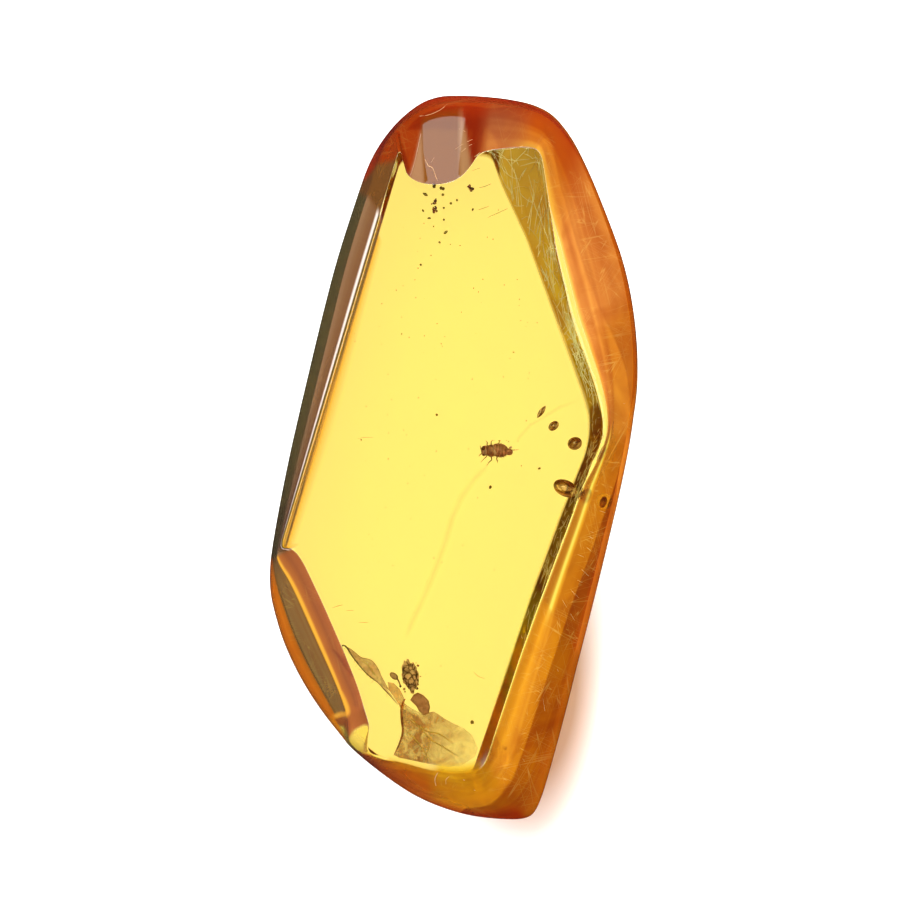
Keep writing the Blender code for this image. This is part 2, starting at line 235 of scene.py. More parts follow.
def buildSlab(angles, rings):
    shape = bmesh.new()
    circles = []
    for level in range(len(rings)):  # a plain tube first, so that the rings join without a twist
        lift = Matrix.Translation((0, 0, level))
        circles.append(bmesh.ops.create_circle(shape, segments=len(angles), radius=4.0, matrix=lift)["verts"])
    loops = [list({edge for vertex in circle for edge in vertex.link_edges}) for circle in circles]
    for lower, upper in zip(loops, loops[1:]):
        bmesh.ops.bridge_loops(shape, edges=lower + upper)
    for rim in (loops[0], loops[-1]):
        bmesh.ops.contextual_create(shape, geom=rim)
    bmesh.ops.recalc_face_normals(shape, faces=shape.faces)
    for circle, (_, places) in zip(circles, rings):
        for vertex, angle, (radius, level) in zip(circle, angles, places):
            vertex.co = Vector((radius * math.cos(angle), radius * math.sin(angle), level)) * mm
    return shape


bubbles = {  # air pockets: middle, half lengths, turn in degrees, how far the ends are drawn out to points
    "leaf": {"middle": (4.27, 2.27, 5.5), "half": (0.37, 0.125, 0.1), "turn": 55, "point": 0.8, "haze": 0.5},
    "oval": {"middle": (4.87, 1.58, 5.3), "half": (0.29, 0.21, 0.2), "turn": 42, "point": 0.0, "haze": 0.4},
    "round": {"middle": (5.91, 0.72, 5.2), "half": (0.36, 0.32, 0.3), "turn": 15, "point": 0.0, "haze": 0.35},
    "long": {"middle": (5.44, -1.48, 5.4), "half": (0.62, 0.41, 0.36), "turn": -25, "point": 0.0, "haze": 0.25},
    "bead": {"middle": (5.8, -1.66, 6.9), "half": (0.13, 0.12, 0.11), "turn": 0, "point": 0.0, "haze": 0.25},
    "rim": {"middle": (7.13, -2.12, 4.9), "half": (0.31, 0.29, 0.28), "turn": 30, "point": 0.0, "haze": 0.3},
}
# painted shade for each bubble's side towards +Y and painted light for its side towards -Y
bubblePaintedShade = {"upper": (0.22, 0.09, 0.01), "lower": (1.0, 0.75, 0.45)}


def addBubbles(shape):  # their faces look into the pockets; returns each vertex's skin, with painted shade on the side towards +Y and painted light on the side towards -Y
    skins = []
    for bubble in bubbles.values():
        turn = Matrix.Rotation(math.radians(90), 4, "Y")
        made = bmesh.ops.create_uvsphere(shape, u_segments=40, v_segments=24, radius=1.0, matrix=turn)["verts"]
        for vertex in made:
            vertex.co.yz = vertex.co.yz * max(1e-4, 1 - vertex.co.x ** 2) ** (bubble["point"] / 2)
        place = Matrix.Translation(bubble["middle"]) @ Matrix.Rotation(math.radians(bubble["turn"]), 4, "Z")
        place = Matrix.Scale(mm, 4) @ place @ Matrix.Diagonal((*bubble["half"], 1))
        bmesh.ops.transform(shape, matrix=place, verts=made)
        bmesh.ops.reverse_faces(shape, faces=list({face for vertex in made for face in vertex.link_faces}))
        low = min(vertex.co.y for vertex in made)
        high = max(vertex.co.y for vertex in made)
        for vertex in made:
            share = min(max(((vertex.co.y - low) / (high - low) - 0.45) * 4, 0), 1)
            tint = [a + (b - a) * share for a, b in zip(bubblePaintedShade["lower"], bubblePaintedShade["upper"])]
            skins.append((*tint, bubble["haze"]))
    return skins


# the skin: place up the profile, the colour it lets through or scatters, its haze and its wear. Its colour is partly
# the crust's own and partly painted shade and painted highlights, standing for the dark surroundings and the glints
# that the sloping sides show.
# 0 the base, 1 its edge, 2 under, 3 the girdle, 4 the shoulder, 5 the table's edge, 6 the table.
# each side runs from one limit in degrees to another; a pair is the limit at the table's edge and its lean below it
clear = (1.0, 1.0, 1.0, 0.0, 0.0)
yellow = (0.95, 0.74, 0.2, 0.1, 0.0)
pale = (0.97, 0.85, 0.45, 0.0, 0.0)
yellowWall = (0.55, 0.4, 0.06, 0.7, 0.0)
goldRim = (0.98, 0.42, 0.05, 0.7, 0.0)
scoopFoot = [(0.9, *clear), (1.1, 0.5, 0.1, 0.01, 0.4, 0.6), (3.0, 0.32, 0.008, 0.0002, 0.75, 0.2)]
ovalFoot = [(0.9, *clear), (1.1, 0.8, 0.4, 0.1, 0.1, 0.2), (2.9, 0.3, 0.05, 0.005, 0.7, 0.3)]
leftFoot = [(0.4, *clear), (0.9, 1.0, 0.5, 0.06, 0.0, 0.0)]
skinSides = {
    # in the right-hand sides the bright yellow stops just under the table's edge, from 4.84 to 4.93, are a painted
    # highlight along that edge, and the bright yellow stops from 4.38 to 4.45 here are a painted highlight line
    "middleRight": (302, 368, 5, [
        (0.9, *clear), (1.1, 0.52, 0.37, 0.003, 0.5, 1.0), (2.6, 0.5, 0.34, 0.003, 0.5, 1.0),
        (2.95, 0.2, 0.035, 0.001, 0.75, 0.3), (3.1, 0.75, 0.17, 0.01, 0.65, 0.3),
        (3.25, 0.48, 0.075, 0.001, 0.65, 0.9), (3.6, 0.48, 0.08, 0.0005, 0.65, 0.9),
        (4.0, 0.44, 0.095, 0.0005, 0.6, 0.9), (4.2, 0.6, 0.17, 0.004, 0.55, 0.5),
        (4.32, 0.95, 0.45, 0.03, 0.5, 0.0), (4.38, 1.0, 0.9, 0.14, 0.5, 0.0),
        (4.45, 1.0, 0.85, 0.14, 0.5, 0.0), (4.52, 0.6, 0.24, 0.02, 0.5, 0.0),
        (4.62, 0.45, 0.15, 0.012, 0.6, 0.4), (4.84, 0.42, 0.1, 0.001, 0.65, 0.3),
        (4.89, 0.95, 0.72, 0.12, 0.4, 0.0), (4.96, *clear)]),
    "right": (8, 42, 4, [
        (0.9, *clear), (1.1, 0.55, 0.36, 0.012, 0.75, 1.0), (2.6, 0.55, 0.34, 0.01, 0.75, 1.0),
        (2.95, 0.2, 0.03, 0.001, 0.75, 0.3), (3.15, 0.62, 0.12, 0.001, 0.7, 0.4),
        (3.4, 0.8, 0.2, 0.004, 0.65, 0.4), (3.7, 0.62, 0.16, 0.006, 0.7, 0.4),
        (4.2, 0.58, 0.17, 0.015, 0.75, 0.8), (4.7, 0.6, 0.17, 0.03, 0.8, 0.6),
        (4.84, 0.85, 0.33, 0.05, 0.65, 0.2), (4.88, 0.98, 0.8, 0.15, 0.2, 0.0), (4.91, *clear)]),
    "upperRight": (42, 66, 4, [
        (0.9, *clear), (1.1, 0.85, 0.58, 0.06, 0.72, 1.0), (2.6, 0.8, 0.55, 0.05, 0.72, 1.0),
        (2.95, 0.22, 0.03, 0.001, 0.75, 0.3), (3.15, 0.6, 0.11, 0.002, 0.7, 0.5),
        (3.5, 0.7, 0.16, 0.008, 0.72, 0.6), (4.0, 0.65, 0.2, 0.03, 0.78, 0.8),
        (4.75, 0.62, 0.2, 0.04, 0.82, 0.8), (4.84, 0.9, 0.4, 0.08, 0.65, 0.2),
        (4.88, 0.98, 0.85, 0.2, 0.2, 0.0), (4.91, *clear)]),
    "corner": (66, 78, 4, [
        (0.9, *clear), (1.1, 0.95, 0.68, 0.1, 0.72, 0.8), (2.7, 0.9, 0.6, 0.06, 0.7, 0.6),
        (3.0, 0.5, 0.1, 0.003, 0.7, 0.3), (3.2, 0.32, 0.012, 0.0003, 0.8, 0.2),
        (3.8, 0.42, 0.035, 0.0005, 0.8, 0.2), (4.2, 0.5, 0.1, 0.004, 0.78, 0.4),
        (4.7, 0.6, 0.2, 0.02, 0.75, 0.4), (4.88, 0.85, 0.42, 0.05, 0.5, 0.2), (4.93, *clear)]),
    "topRight": (78, 84.5, 2, [
        (0.9, *clear), (1.1, 0.95, 0.68, 0.1, 0.6, 0.6), (2.7, 0.9, 0.6, 0.06, 0.6, 0.6),
        (3.0, 0.32, 0.01, 0.0002, 0.75, 0.2), (3.85, 0.3, 0.02, 0.0003, 0.8, 0.2),
        (4.15, 0.3, 0.07, 0.02, 0.8, 0.2), (4.9, 0.42, 0.12, 0.03, 0.75, 0.2), (5.0, *clear)]),
    # this sector's dark red-brown is painted shade on the shaded right side of the scoop
    "scoopPaintedShade": (84.5, (86.5, 2.2), 0.8, [
        *scoopFoot, (4.0, 0.3, 0.02, 0.001, 0.8, 0.1), (4.2, 0.2, 0.012, 0.0005, 0.85, 0.0),
        (4.93, 0.2, 0.012, 0.0005, 0.85, 0.0), (5.0, *clear)]),
    "scoop": ((88.9, 0.4), (96.4, -0.8), 0.4, [
        *scoopFoot, (4.0, 0.28, 0.02, 0.001, 0.8, 0.1), (4.15, 0.17, 0.045, 0.002, 0.85, 0.0),
        (4.96, 0.17, 0.045, 0.002, 0.85, 0.0), (5.0, *clear)]),
    # the mauve upper stops of the scoop's right and left sides are a painted reflection, widening the back box's own
    # reflection towards the table's edge
    "scoopRightPaintedReflection": ((86.5, 2.4), (88.9, 0.4), 0.4, [
        *scoopFoot, (4.0, 0.3, 0.03, 0.001, 0.8, 0.1), (4.2, 0.31, 0.15, 0.065, 0.88, 0.0),
        (4.97, 0.31, 0.15, 0.065, 0.88, 0.0), (5.0, *clear)]),
    "scoopLeftPaintedReflection": ((96.4, -0.8), (99.7, -4.9), 0.4, [
        *scoopFoot, (4.0, 0.3, 0.03, 0.001, 0.8, 0.1), (4.15, 0.31, 0.15, 0.075, 0.88, 0.0),
        (4.97, 0.31, 0.15, 0.075, 0.88, 0.0), (5.0, *clear)]),
    "topLeft": ((99.7, -4.9), (100.5, 4.1), 0.4, [
        *scoopFoot, (4.0, 0.24, 0.018, 0.0005, 0.8, 0.2), (4.9, 0.25, 0.022, 0.001, 0.8, 0.2),
        (4.98, *clear)]),
    "leftTop": ((100.5, 4.1), (107.0, 1.5), 0.35, [
        *leftFoot, (1.1, 0.14, 0.05, 0.008, 0.85, 0.1), (3.0, 0.14, 0.05, 0.012, 0.88, 0.1),
        (4.95, 0.14, 0.05, 0.012, 0.88, 0.1), (5.02, *clear)]),
    # on the left side the mauve strip from 4.02 to 4.74 is a painted sheen, the white line from 4.79 to 4.87 a painted
    # highlight of the table's edge, and the dark line from 4.92 to 5.04 painted shade beside it
    "left": ((107.0, 1.5), 209, 0.5, [
        *leftFoot, (1.1, 0.06, 0.07, 0.01, 0.8, 0.1), (3.0, 0.07, 0.055, 0.02, 0.85, 0.1),
        (3.95, 0.08, 0.055, 0.022, 0.85, 0.1), (4.02, 0.26, 0.14, 0.08, 0.88, 0.1),
        (4.4, 0.2, 0.09, 0.042, 0.88, 0.1), (4.74, 0.17, 0.07, 0.034, 0.88, 0.1),
        (4.79, 1.0, 0.84, 0.76, 0.95, 0.0), (4.87, 1.0, 0.84, 0.76, 0.95, 0.0),
        (4.92, 0.1, 0.06, 0.015, 0.92, 0.0), (5.04, 0.14, 0.08, 0.012, 0.9, 0.0),
        (5.1, 0.95, 0.5, 0.02, 0.25, 0.0), (5.5, 0.98, 0.74, 0.3, 0.05, 0.0), (5.95, *clear)]),
    "oval": (209, (249.7, -2.8), 0.5, [
        (0.9, *clear), (1.1, 0.8, 0.4, 0.1, 0.1, 0.2), (2.6, 0.5, 0.1, 0.01, 0.5, 0.3),
        (2.95, 0.2, 0.03, 0.002, 0.7, 0.0), (3.15, 0.5, 0.09, 0.003, 0.7, 0.1),
        (3.3, 0.42, 0.09, 0.004, 0.7, 0.2), (3.36, 0.1, 0.04, 0.01, 0.8, 0.0),
        (3.42, 0.17, 0.085, 0.035, 0.8, 0.4), (3.9, 0.2, 0.09, 0.035, 0.8, 0.4),
        (3.955, 0.12, 0.05, 0.01, 0.75, 0.0), (3.98, *goldRim), (4.05, 0.98, 0.45, 0.05, 0.7, 0.0),
        (4.12, 0.42, 0.11, 0.03, 0.75, 0.1), (4.5, 0.27, 0.065, 0.03, 0.75, 0.2),
        (4.9, 0.36, 0.085, 0.035, 0.75, 0.1), (4.98, 0.5, 0.16, 0.05, 0.7, 0.0), (5.02, *clear)]),
    "ovalHook": ((249.7, -2.8), (250.3, -2.8), 0.25, [
        *ovalFoot, (3.2, 0.6, 0.15, 0.002, 0.65, 0.3), (3.3, *goldRim), (4.03, *goldRim),
        (4.12, 0.4, 0.1, 0.03, 0.75, 0.1), (4.9, 0.3, 0.07, 0.03, 0.8, 0.1), (5.02, *clear)]),
    "ovalTip": ((250.3, -2.8), (252.8, -3.4), 0.25, [
        *ovalFoot, (3.15, 0.6, 0.15, 0.002, 0.65, 0.3), (3.25, 0.26, 0.05, 0.01, 0.8, 0.0),
        (4.0, 0.38, 0.1, 0.03, 0.8, 0.0), (4.9, 0.24, 0.055, 0.02, 0.8, 0.1), (5.02, *clear)]),
    "gap": ((252.8, -3.4), (257.5, -4.4), 0.3, [
        (0.9, *clear), (2.9, 0.35, 0.05, 0.001, 0.7, 0.3), (3.12, 0.6, 0.15, 0.002, 0.7, 0.3),
        (3.3, *yellowWall), (3.95, *yellowWall), (4.15, *yellow), (5.0, *yellow), (5.08, *pale),
        (5.12, *clear)]),
    "bottomLeft": ((257.5, -4.4), 266, 1.5, [
        (0.9, *clear), (1.1, 0.9, 0.6, 0.1, 0.2, 0.1), (2.9, 0.3, 0.04, 0.001, 0.75, 0.3),
        (3.3, 0.45, 0.05, 0.0005, 0.75, 0.3), (3.9, 0.6, 0.1, 0.001, 0.7, 0.4),
        (4.5, 0.55, 0.13, 0.001, 0.7, 0.4), (4.9, 0.5, 0.15, 0.002, 0.6, 0.4),
        (5.02, 0.7, 0.36, 0.02, 0.3, 0.2), (5.3, *pale), (5.5, *clear)]),
    "bottom": (266, (275.3, 3.0), 1.5, [
        (0.9, *clear), (1.1, 0.95, 0.5, 0.01, 0.5, 0.4), (2.9, 0.4, 0.03, 0.0005, 0.7, 0.4),
        (3.2, 0.4, 0.035, 0.0005, 0.7, 0.4), (3.5, 0.5, 0.08, 0.001, 0.65, 0.5),
        (4.1, 0.6, 0.19, 0.001, 0.6, 0.6), (4.8, 0.6, 0.24, 0.002, 0.6, 0.6),
        (5.1, 0.55, 0.24, 0.003, 0.5, 0.6), (5.3, 0.62, 0.34, 0.01, 0.35, 0.4),
        (5.6, 0.85, 0.62, 0.08, 0.1, 0.2), (5.85, *pale), (6.0, *clear)]),
    "lowerRight": ((275.3, 3.0), 302, 0.8, [
        (0.9, *clear), (1.1, 0.58, 0.62, 0.008, 0.5, 1.0), (2.6, 0.55, 0.5, 0.006, 0.55, 1.0),
        (2.95, 0.3, 0.06, 0.001, 0.7, 0.4), (3.15, 0.55, 0.13, 0.003, 0.65, 0.5),
        (3.5, 0.45, 0.1, 0.001, 0.65, 0.9), (4.0, 0.55, 0.15, 0.001, 0.6, 0.9),
        (4.2, 0.72, 0.22, 0.01, 0.55, 0.9), (4.5, 0.85, 0.3, 0.012, 0.55, 0.6),
        (4.72, 0.55, 0.16, 0.004, 0.55, 0.6), (4.86, 0.6, 0.2, 0.01, 0.5, 0.2),
        (4.9, 0.95, 0.75, 0.12, 0.35, 0.0), (4.93, 0.95, 0.8, 0.2, 0.2, 0.0), (4.97, *clear)]),
}
windows = [(7.4, -2.13), (6.0, -1.66)]  # where the skin is clear enough to show the bubbles beneath
paintedStreaks = {  # painted bands of lighter and darker skin that follow the edges, standing for streaks of reflection along the curved rim, and how strong they are round the slab
    "across": 10.0, "along": 1.6,
    "strength": [(0, 0.45), (60, 0.4), (80, 0.6), (240, 0.6), (256, 0.3), (300, 0.3), (330, 0.55)],
}


def blendAt(value, low, high):
    share = np.clip((value - low) / (high - low), 0, 1)
    return share * share * (3 - 2 * share)


def paintSkin(piece, angles, rings, bubbleSkins):
    degrees = np.degrees(angles)[None, :] % 360
    heights = np.array([place for place, _ in rings])
    total = np.zeros((len(rings), len(angles), 5))
    weights = np.zeros((len(rings), len(angles)))
    below = np.clip(5 - heights, 0, 2)[:, None]
    for start, end, soft, stops in skinSides.values():
        places = [stop[0] for stop in stops]
        ring = np.stack([np.interp(heights, places, [stop[part] for stop in stops]) for part in range(1, 6)], axis=1)
        start, end = [limit[0] + limit[1] * below if isinstance(limit, tuple) else limit for limit in (start, end)]
        weight = 1e-6
        for turn in (0, 360):
            here = degrees + turn
            weight = weight + blendAt(here, start - soft, start + soft) * (1 - blendAt(here, end - soft, end + soft))
        total += ring[:, None, :] * weight[:, :, None]
        weights += weight
    total = (total / weights[:, :, None]).astype(np.float32)
    along, across = paintedStreaks["along"], paintedStreaks["across"]
    strength = byAngle(angles, paintedStreaks["strength"])
    # painted streaks of reflection along the rim
    for row, height in zip(total, heights):
        if 1.05 < height < 4.9:
            spots = [(height * across, math.cos(angle) * along, math.sin(angle) * along) for angle in angles]
            band = 1 + strength * row[:, 4] * np.array([noise.noise(spot) for spot in spots])
            row[:, :3] *= (np.maximum(band, 0.3)[:, None] ** np.array((0.7, 1.5, 1.5)))
    total[:, :, :3] = np.minimum(total[:, :, :3], 1.0)
    for x, y in windows:
        for row, (_, place) in zip(total, rings):
            off = np.hypot(place[:, 0] * np.cos(angles) - x, place[:, 0] * np.sin(angles) - y)
            row[:, 3:] *= (0.2 + 0.8 * blendAt(off, 0.26, 0.44))[:, None]
    inner = np.array(bubbleSkins, dtype=np.float32)
    skin = piece.data.color_attributes.new("skin", "FLOAT_COLOR", "POINT")
    skin.data.foreach_set("color", np.concatenate([total[:, :, :4].ravel(), inner.ravel()]))
    wear = piece.data.attributes.new("wear", "FLOAT", "POINT")
    wear.data.foreach_set("value", np.concatenate([total[:, :, 4].ravel(), np.zeros(len(inner), np.float32)]))


scratchLook = {  # each set of scratches: its direction in degrees, noise scale along and across, line width
    "sets": [(12, 60, 2200, 0.008), (58, 80, 2600, 0.008), (104, 70, 2400, 0.008), (150, 90, 2800, 0.008)],
    "breakScale": 500.0,
}


def readAttribute(tree, name):
    node = tree.nodes.new("ShaderNodeAttribute")
    node.attribute_name = name
    return node


def noiseField(tree, place, scale, detail=2.0, distortion=0.0):
    node = tree.nodes.new("ShaderNodeTexNoise")
    node.inputs["Scale"].default_value = scale
    node.inputs["Detail"].default_value = detail
    node.inputs["Distortion"].default_value = distortion
    tree.links.new(place, node.inputs["Vector"])
    return node.outputs["Fac"]


def turned(tree, place, degrees, scale):
    node = tree.nodes.new("ShaderNodeMapping")
    node.vector_type = "TEXTURE"
    node.inputs["Rotation"].default_value = (0, 0, math.radians(degrees))
    node.inputs["Scale"].default_value = [1 / part for part in scale]
    tree.links.new(place, node.inputs["Vector"])
    return node.outputs[0]


def scratchField(tree, place):
    found = None
    for degrees, along, across, width in scratchLook["sets"]:
        lines = noiseField(tree, turned(tree, place, degrees, (along, across, along)), 1.0, detail=1.0)
        off = joinMath(tree, "ABSOLUTE", joinMath(tree, "SUBTRACT", lines, 0.5), 0.0)
        line = mapped(tree, off, 0.0, width, 1.0, 0.0)
        found = line if found is None else joinMath(tree, "MAXIMUM", found, line)
    gaps = mapped(tree, noiseField(tree, place, scratchLook["breakScale"]), 0.42, 0.58)
    return joinMath(tree, "MULTIPLY", found, gaps)


amberLook = {
    "ior": 1.54, "roughness": 0.03, "absorb": (0.99, 0.865, 0.0, 1), "density": 212.0,
    "scratchHaze": 0.55, "scratchTone": (1.0, 0.66, 0.15, 1), "scratchShare": 0.3,
    "blotchScale": 420.0, "blotchTone": (0.72, 0.5, 0.4, 1),
}


def amberMaterial():
    made, tree, shader = newMaterial("amber")
    shader.inputs["IOR"].default_value = amberLook["ior"]
    shader.inputs["Roughness"].default_value = amberLook["roughness"]
    place = tree.nodes.new("ShaderNodeTexCoord").outputs["Object"]
    skin = readAttribute(tree, "skin")
    wear = readAttribute(tree, "wear").outputs["Fac"]
    scratches = joinMath(tree, "MULTIPLY", scratchField(tree, place), wear)
    worn = joinMath(tree, "MULTIPLY", scratches, amberLook["scratchHaze"])
    haze = joinMath(tree, "MAXIMUM", skin.outputs["Alpha"], worn)
    tree.links.new(joinMath(tree, "SUBTRACT", 1.0, haze), shader.inputs["Transmission Weight"])
    spots = noiseField(tree, place, amberLook["blotchScale"], detail=4.0, distortion=0.8)
    dim = mixColour(tree, mapped(tree, spots, 0.45, 0.7), (1.0, 1.0, 1.0, 1), amberLook["blotchTone"])
    mottled = tree.nodes.new("ShaderNodeMix")
    mottled.data_type, mottled.blend_type = "RGBA", "MULTIPLY"
    tree.links.new(wear, mottled.inputs[0])
    tree.links.new(skin.outputs["Color"], mottled.inputs[6])
    tree.links.new(dim, mottled.inputs[7])
    share = joinMath(tree, "MULTIPLY", scratches, amberLook["scratchShare"])
    lighter = mixColour(tree, share, mottled.outputs[2], amberLook["scratchTone"])
    tree.links.new(lighter, shader.inputs["Base Color"])
    depth = tree.nodes.new("ShaderNodeVolumeAbsorption")
    depth.inputs["Color"].default_value = amberLook["absorb"]
    depth.inputs["Density"].default_value = amberLook["density"]
    tree.links.new(depth.outputs[0], tree.nodes["Material Output"].inputs["Volume"])
    return made


stations = np.arange(slab["stations"]) * fullTurn / slab["stations"]
slabRings = profileRings(stations)
amberShape = buildSlab(stations, slabRings)
bubbleSkins = addBubbles(amberShape)
amber = finishPiece("amber", amberShape, [amberMaterial()])
paintSkin(amber, stations, slabRings, bubbleSkins)
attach(amber, "root")
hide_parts("amber_upper", "amber_lower")
print("amber", len(amber.data.polygons), "faces")


# what is sealed in the amber is built of toned parts: a shape and its colour, the fourth number its cover
def joinParts(name, parts, material, place=None, smoothAngle=50.0):
    shape = bmesh.new()
    tones = []
    for part, tone in parts:
        tones += [tone(vertex.co) if callable(tone) else tone for vertex in part.verts]
        lump = bpy.data.meshes.new("part")
        part.to_mesh(lump)
        part.free()
        shape.from_mesh(lump)
        bpy.data.meshes.remove(lump)
    bmesh.ops.transform(shape, matrix=Matrix.Scale(mm, 4) @ (place or Matrix()), verts=shape.verts)
    piece = finishPiece(name, shape, [material], smoothAngle)
    colours = np.ones((len(tones), 4), dtype=np.float32)
    for row, tone in zip(colours, tones):
        row[:len(tone)] = tone
    piece.data.color_attributes.new("tone", "FLOAT_COLOR", "POINT").data.foreach_set("color", colours.ravel())
    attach(piece, "root")
    return piece


def ball(middle, radii, turn=0.0, around=28, along=18):  # its poles lie along its first radius
    shape = bmesh.new()
    place = Matrix.Translation(middle) @ Matrix.Rotation(math.radians(turn), 4, "Z")
    place = place @ Matrix.Diagonal((*radii, 1)) @ Matrix.Rotation(math.radians(90), 4, "Y")
    bmesh.ops.create_uvsphere(shape, u_segments=around, v_segments=along, radius=1.0, matrix=place)
    return shape


def strands(runs, fine=1):  # tapered round strands, each a list of (x, y, z, radius)
    curve = bpy.data.curves.new("strand", "CURVE")
    curve.dimensions = "3D"
    curve.bevel_depth = 1.0
    curve.bevel_resolution = fine
    curve.use_fill_caps = True
    for run in runs:
        spline = curve.splines.new("POLY")
        spline.points.add(len(run) - 1)
        for point, (x, y, z, radius) in zip(spline.points, run):
            point.co = (x, y, z, 1)
            point.radius = radius
    holder = bpy.data.objects.new("strand", curve)
    mesh = bpy.data.meshes.new_from_object(holder)
    bpy.data.objects.remove(holder)
    shape = bmesh.new()
    shape.from_mesh(mesh)
    bpy.data.meshes.remove(mesh)
    bmesh.ops.remove_doubles(shape, verts=shape.verts, dist=0.00005)
    bmesh.ops.recalc_face_normals(shape, faces=shape.faces)
    return shape


def smoothRun(points, radii, steps=6):  # a curve through the points, with a radius that changes along it
    line = [Vector(point[:3]) for point in points]
    run = []
    for number in range(len(line) - 1):
        before, start = line[max(number - 1, 0)], line[number]
        end, after = line[number + 1], line[min(number + 2, len(line) - 1)]
        for step in range(steps + (number == len(line) - 2)):
            share = step / steps
            place = 0.5 * (2 * start + (end - before) * share
                           + (2 * before - 5 * start + 4 * end - after) * share ** 2
                           + (3 * start - before - 3 * end + after) * share ** 3)
            run.append((*place, radii[number] + (radii[number + 1] - radii[number]) * share))
    return run


def chip(outline, level, thick, tilt=0.0, wave=0.0, cuts=3, seed=0.0):  # a thin bent sheet with this outline
    shape = bmesh.new()
    middle = sum((Vector(point) for point in outline), Vector((0, 0))) / len(outline)
    rim = [shape.verts.new((x, y, level)) for x, y in outline]
    sheet = bmesh.ops.contextual_create(shape, geom=rim)["faces"]
    bmesh.ops.inset_region(shape, faces=sheet, thickness=0.05, use_even_offset=True)
    bmesh.ops.triangulate(shape, faces=shape.faces)
    for _ in range(cuts):
        bmesh.ops.subdivide_edges(shape, edges=shape.edges, cuts=1, use_grid_fill=True)
    for vertex in shape.verts:
        spot = Vector((vertex.co.x, vertex.co.y, seed)) * 2.5
        across = (vertex.co.y - middle.y) * math.tan(math.radians(tilt))
        vertex.co.z += wave * noise.fractal(spot, 1.0, 2.0, 3) + across
    bmesh.ops.solidify(shape, geom=shape.faces[:], thickness=thick)
    bmesh.ops.recalc_face_normals(shape, faces=shape.faces)
    return shape


def ribbon(path, width, level, across=6):  # a flat band along a path, clear at its two sides
    shape = bmesh.new()
    line = [Vector((x, y, level)) for x, y, _, _ in smoothRun([(*point, 0) for point in path], [0] * len(path), 5)]
    row = []
    for number, place in enumerate(line):
        ahead = line[min(number + 1, len(line) - 1)] - line[max(number - 1, 0)]
        side = Vector((-ahead.y, ahead.x, 0)).normalized() * width
        if not row:
            row = [shape.verts.new(place) for _ in range(across + 1)]
            edges = [shape.edges.new(pair) for pair in zip(row, row[1:])]
        else:
            new = bmesh.ops.extrude_edge_only(shape, edges=edges)["geom"]
            edges = [part for part in new if isinstance(part, bmesh.types.BMEdge)]
            fresh = {vertex for edge in edges for vertex in edge.verts}
            row = [next(edge.other_vert(vertex) for edge in vertex.link_edges if edge.other_vert(vertex) in fresh)
                   for vertex in row]
        for step, vertex in enumerate(row):
            share = step / across - 0.5
            vertex.co = place + side * share
    bmesh.ops.solidify(shape, geom=shape.faces[:], thickness=0.01)
    bmesh.ops.recalc_face_normals(shape, faces=shape.faces)
    return shape


def bumped(tree, shader, height, strength, depth):
    node = tree.nodes.new("ShaderNodeBump")
    node.inputs["Strength"].default_value = strength
    node.inputs["Distance"].default_value = depth
    tree.links.new(height, node.inputs["Height"])
    tree.links.new(node.outputs[0], shader.inputs["Normal"])


def tonedMaterial(name, roughness, grain, shade, cover=False):
    # the part's own tone, broken up by grains of two sizes; grain is their scale, shade how dark they go
    made, tree, shader = newMaterial(name)
    shader.inputs["Roughness"].default_value = roughness
    place = tree.nodes.new("ShaderNodeTexCoord").outputs["Object"]
    tone = readAttribute(tree, "tone")
    fine = noiseField(tree, place, grain, detail=4.0)
    coarse = noiseField(tree, place, grain * 0.3, detail=2.0)
    dark = joinMath(tree, "MAXIMUM", mapped(tree, fine, 0.48, 0.7), mapped(tree, coarse, 0.55, 0.75))
    darkShare = joinMath(tree, "MULTIPLY", dark, shade)
    colour = mixColour(tree, darkShare, tone.outputs["Color"], (0.02, 0.008, 0.001, 1))
    lightShare = joinMath(tree, "MULTIPLY", mapped(tree, fine, 0.38, 0.28), shade * 0.6)
    tree.links.new(mixColour(tree, lightShare, colour, (0.9, 0.6, 0.3, 1)), shader.inputs["Base Color"])
    bumped(tree, shader, fine, 0.5, 0.02 * mm)
    if cover:
        gaps = mapped(tree, coarse, 0.3, 0.7, 1.0, 0.55)
        tree.links.new(joinMath(tree, "MULTIPLY", tone.outputs["Alpha"], gaps), shader.inputs["Alpha"])
    return made


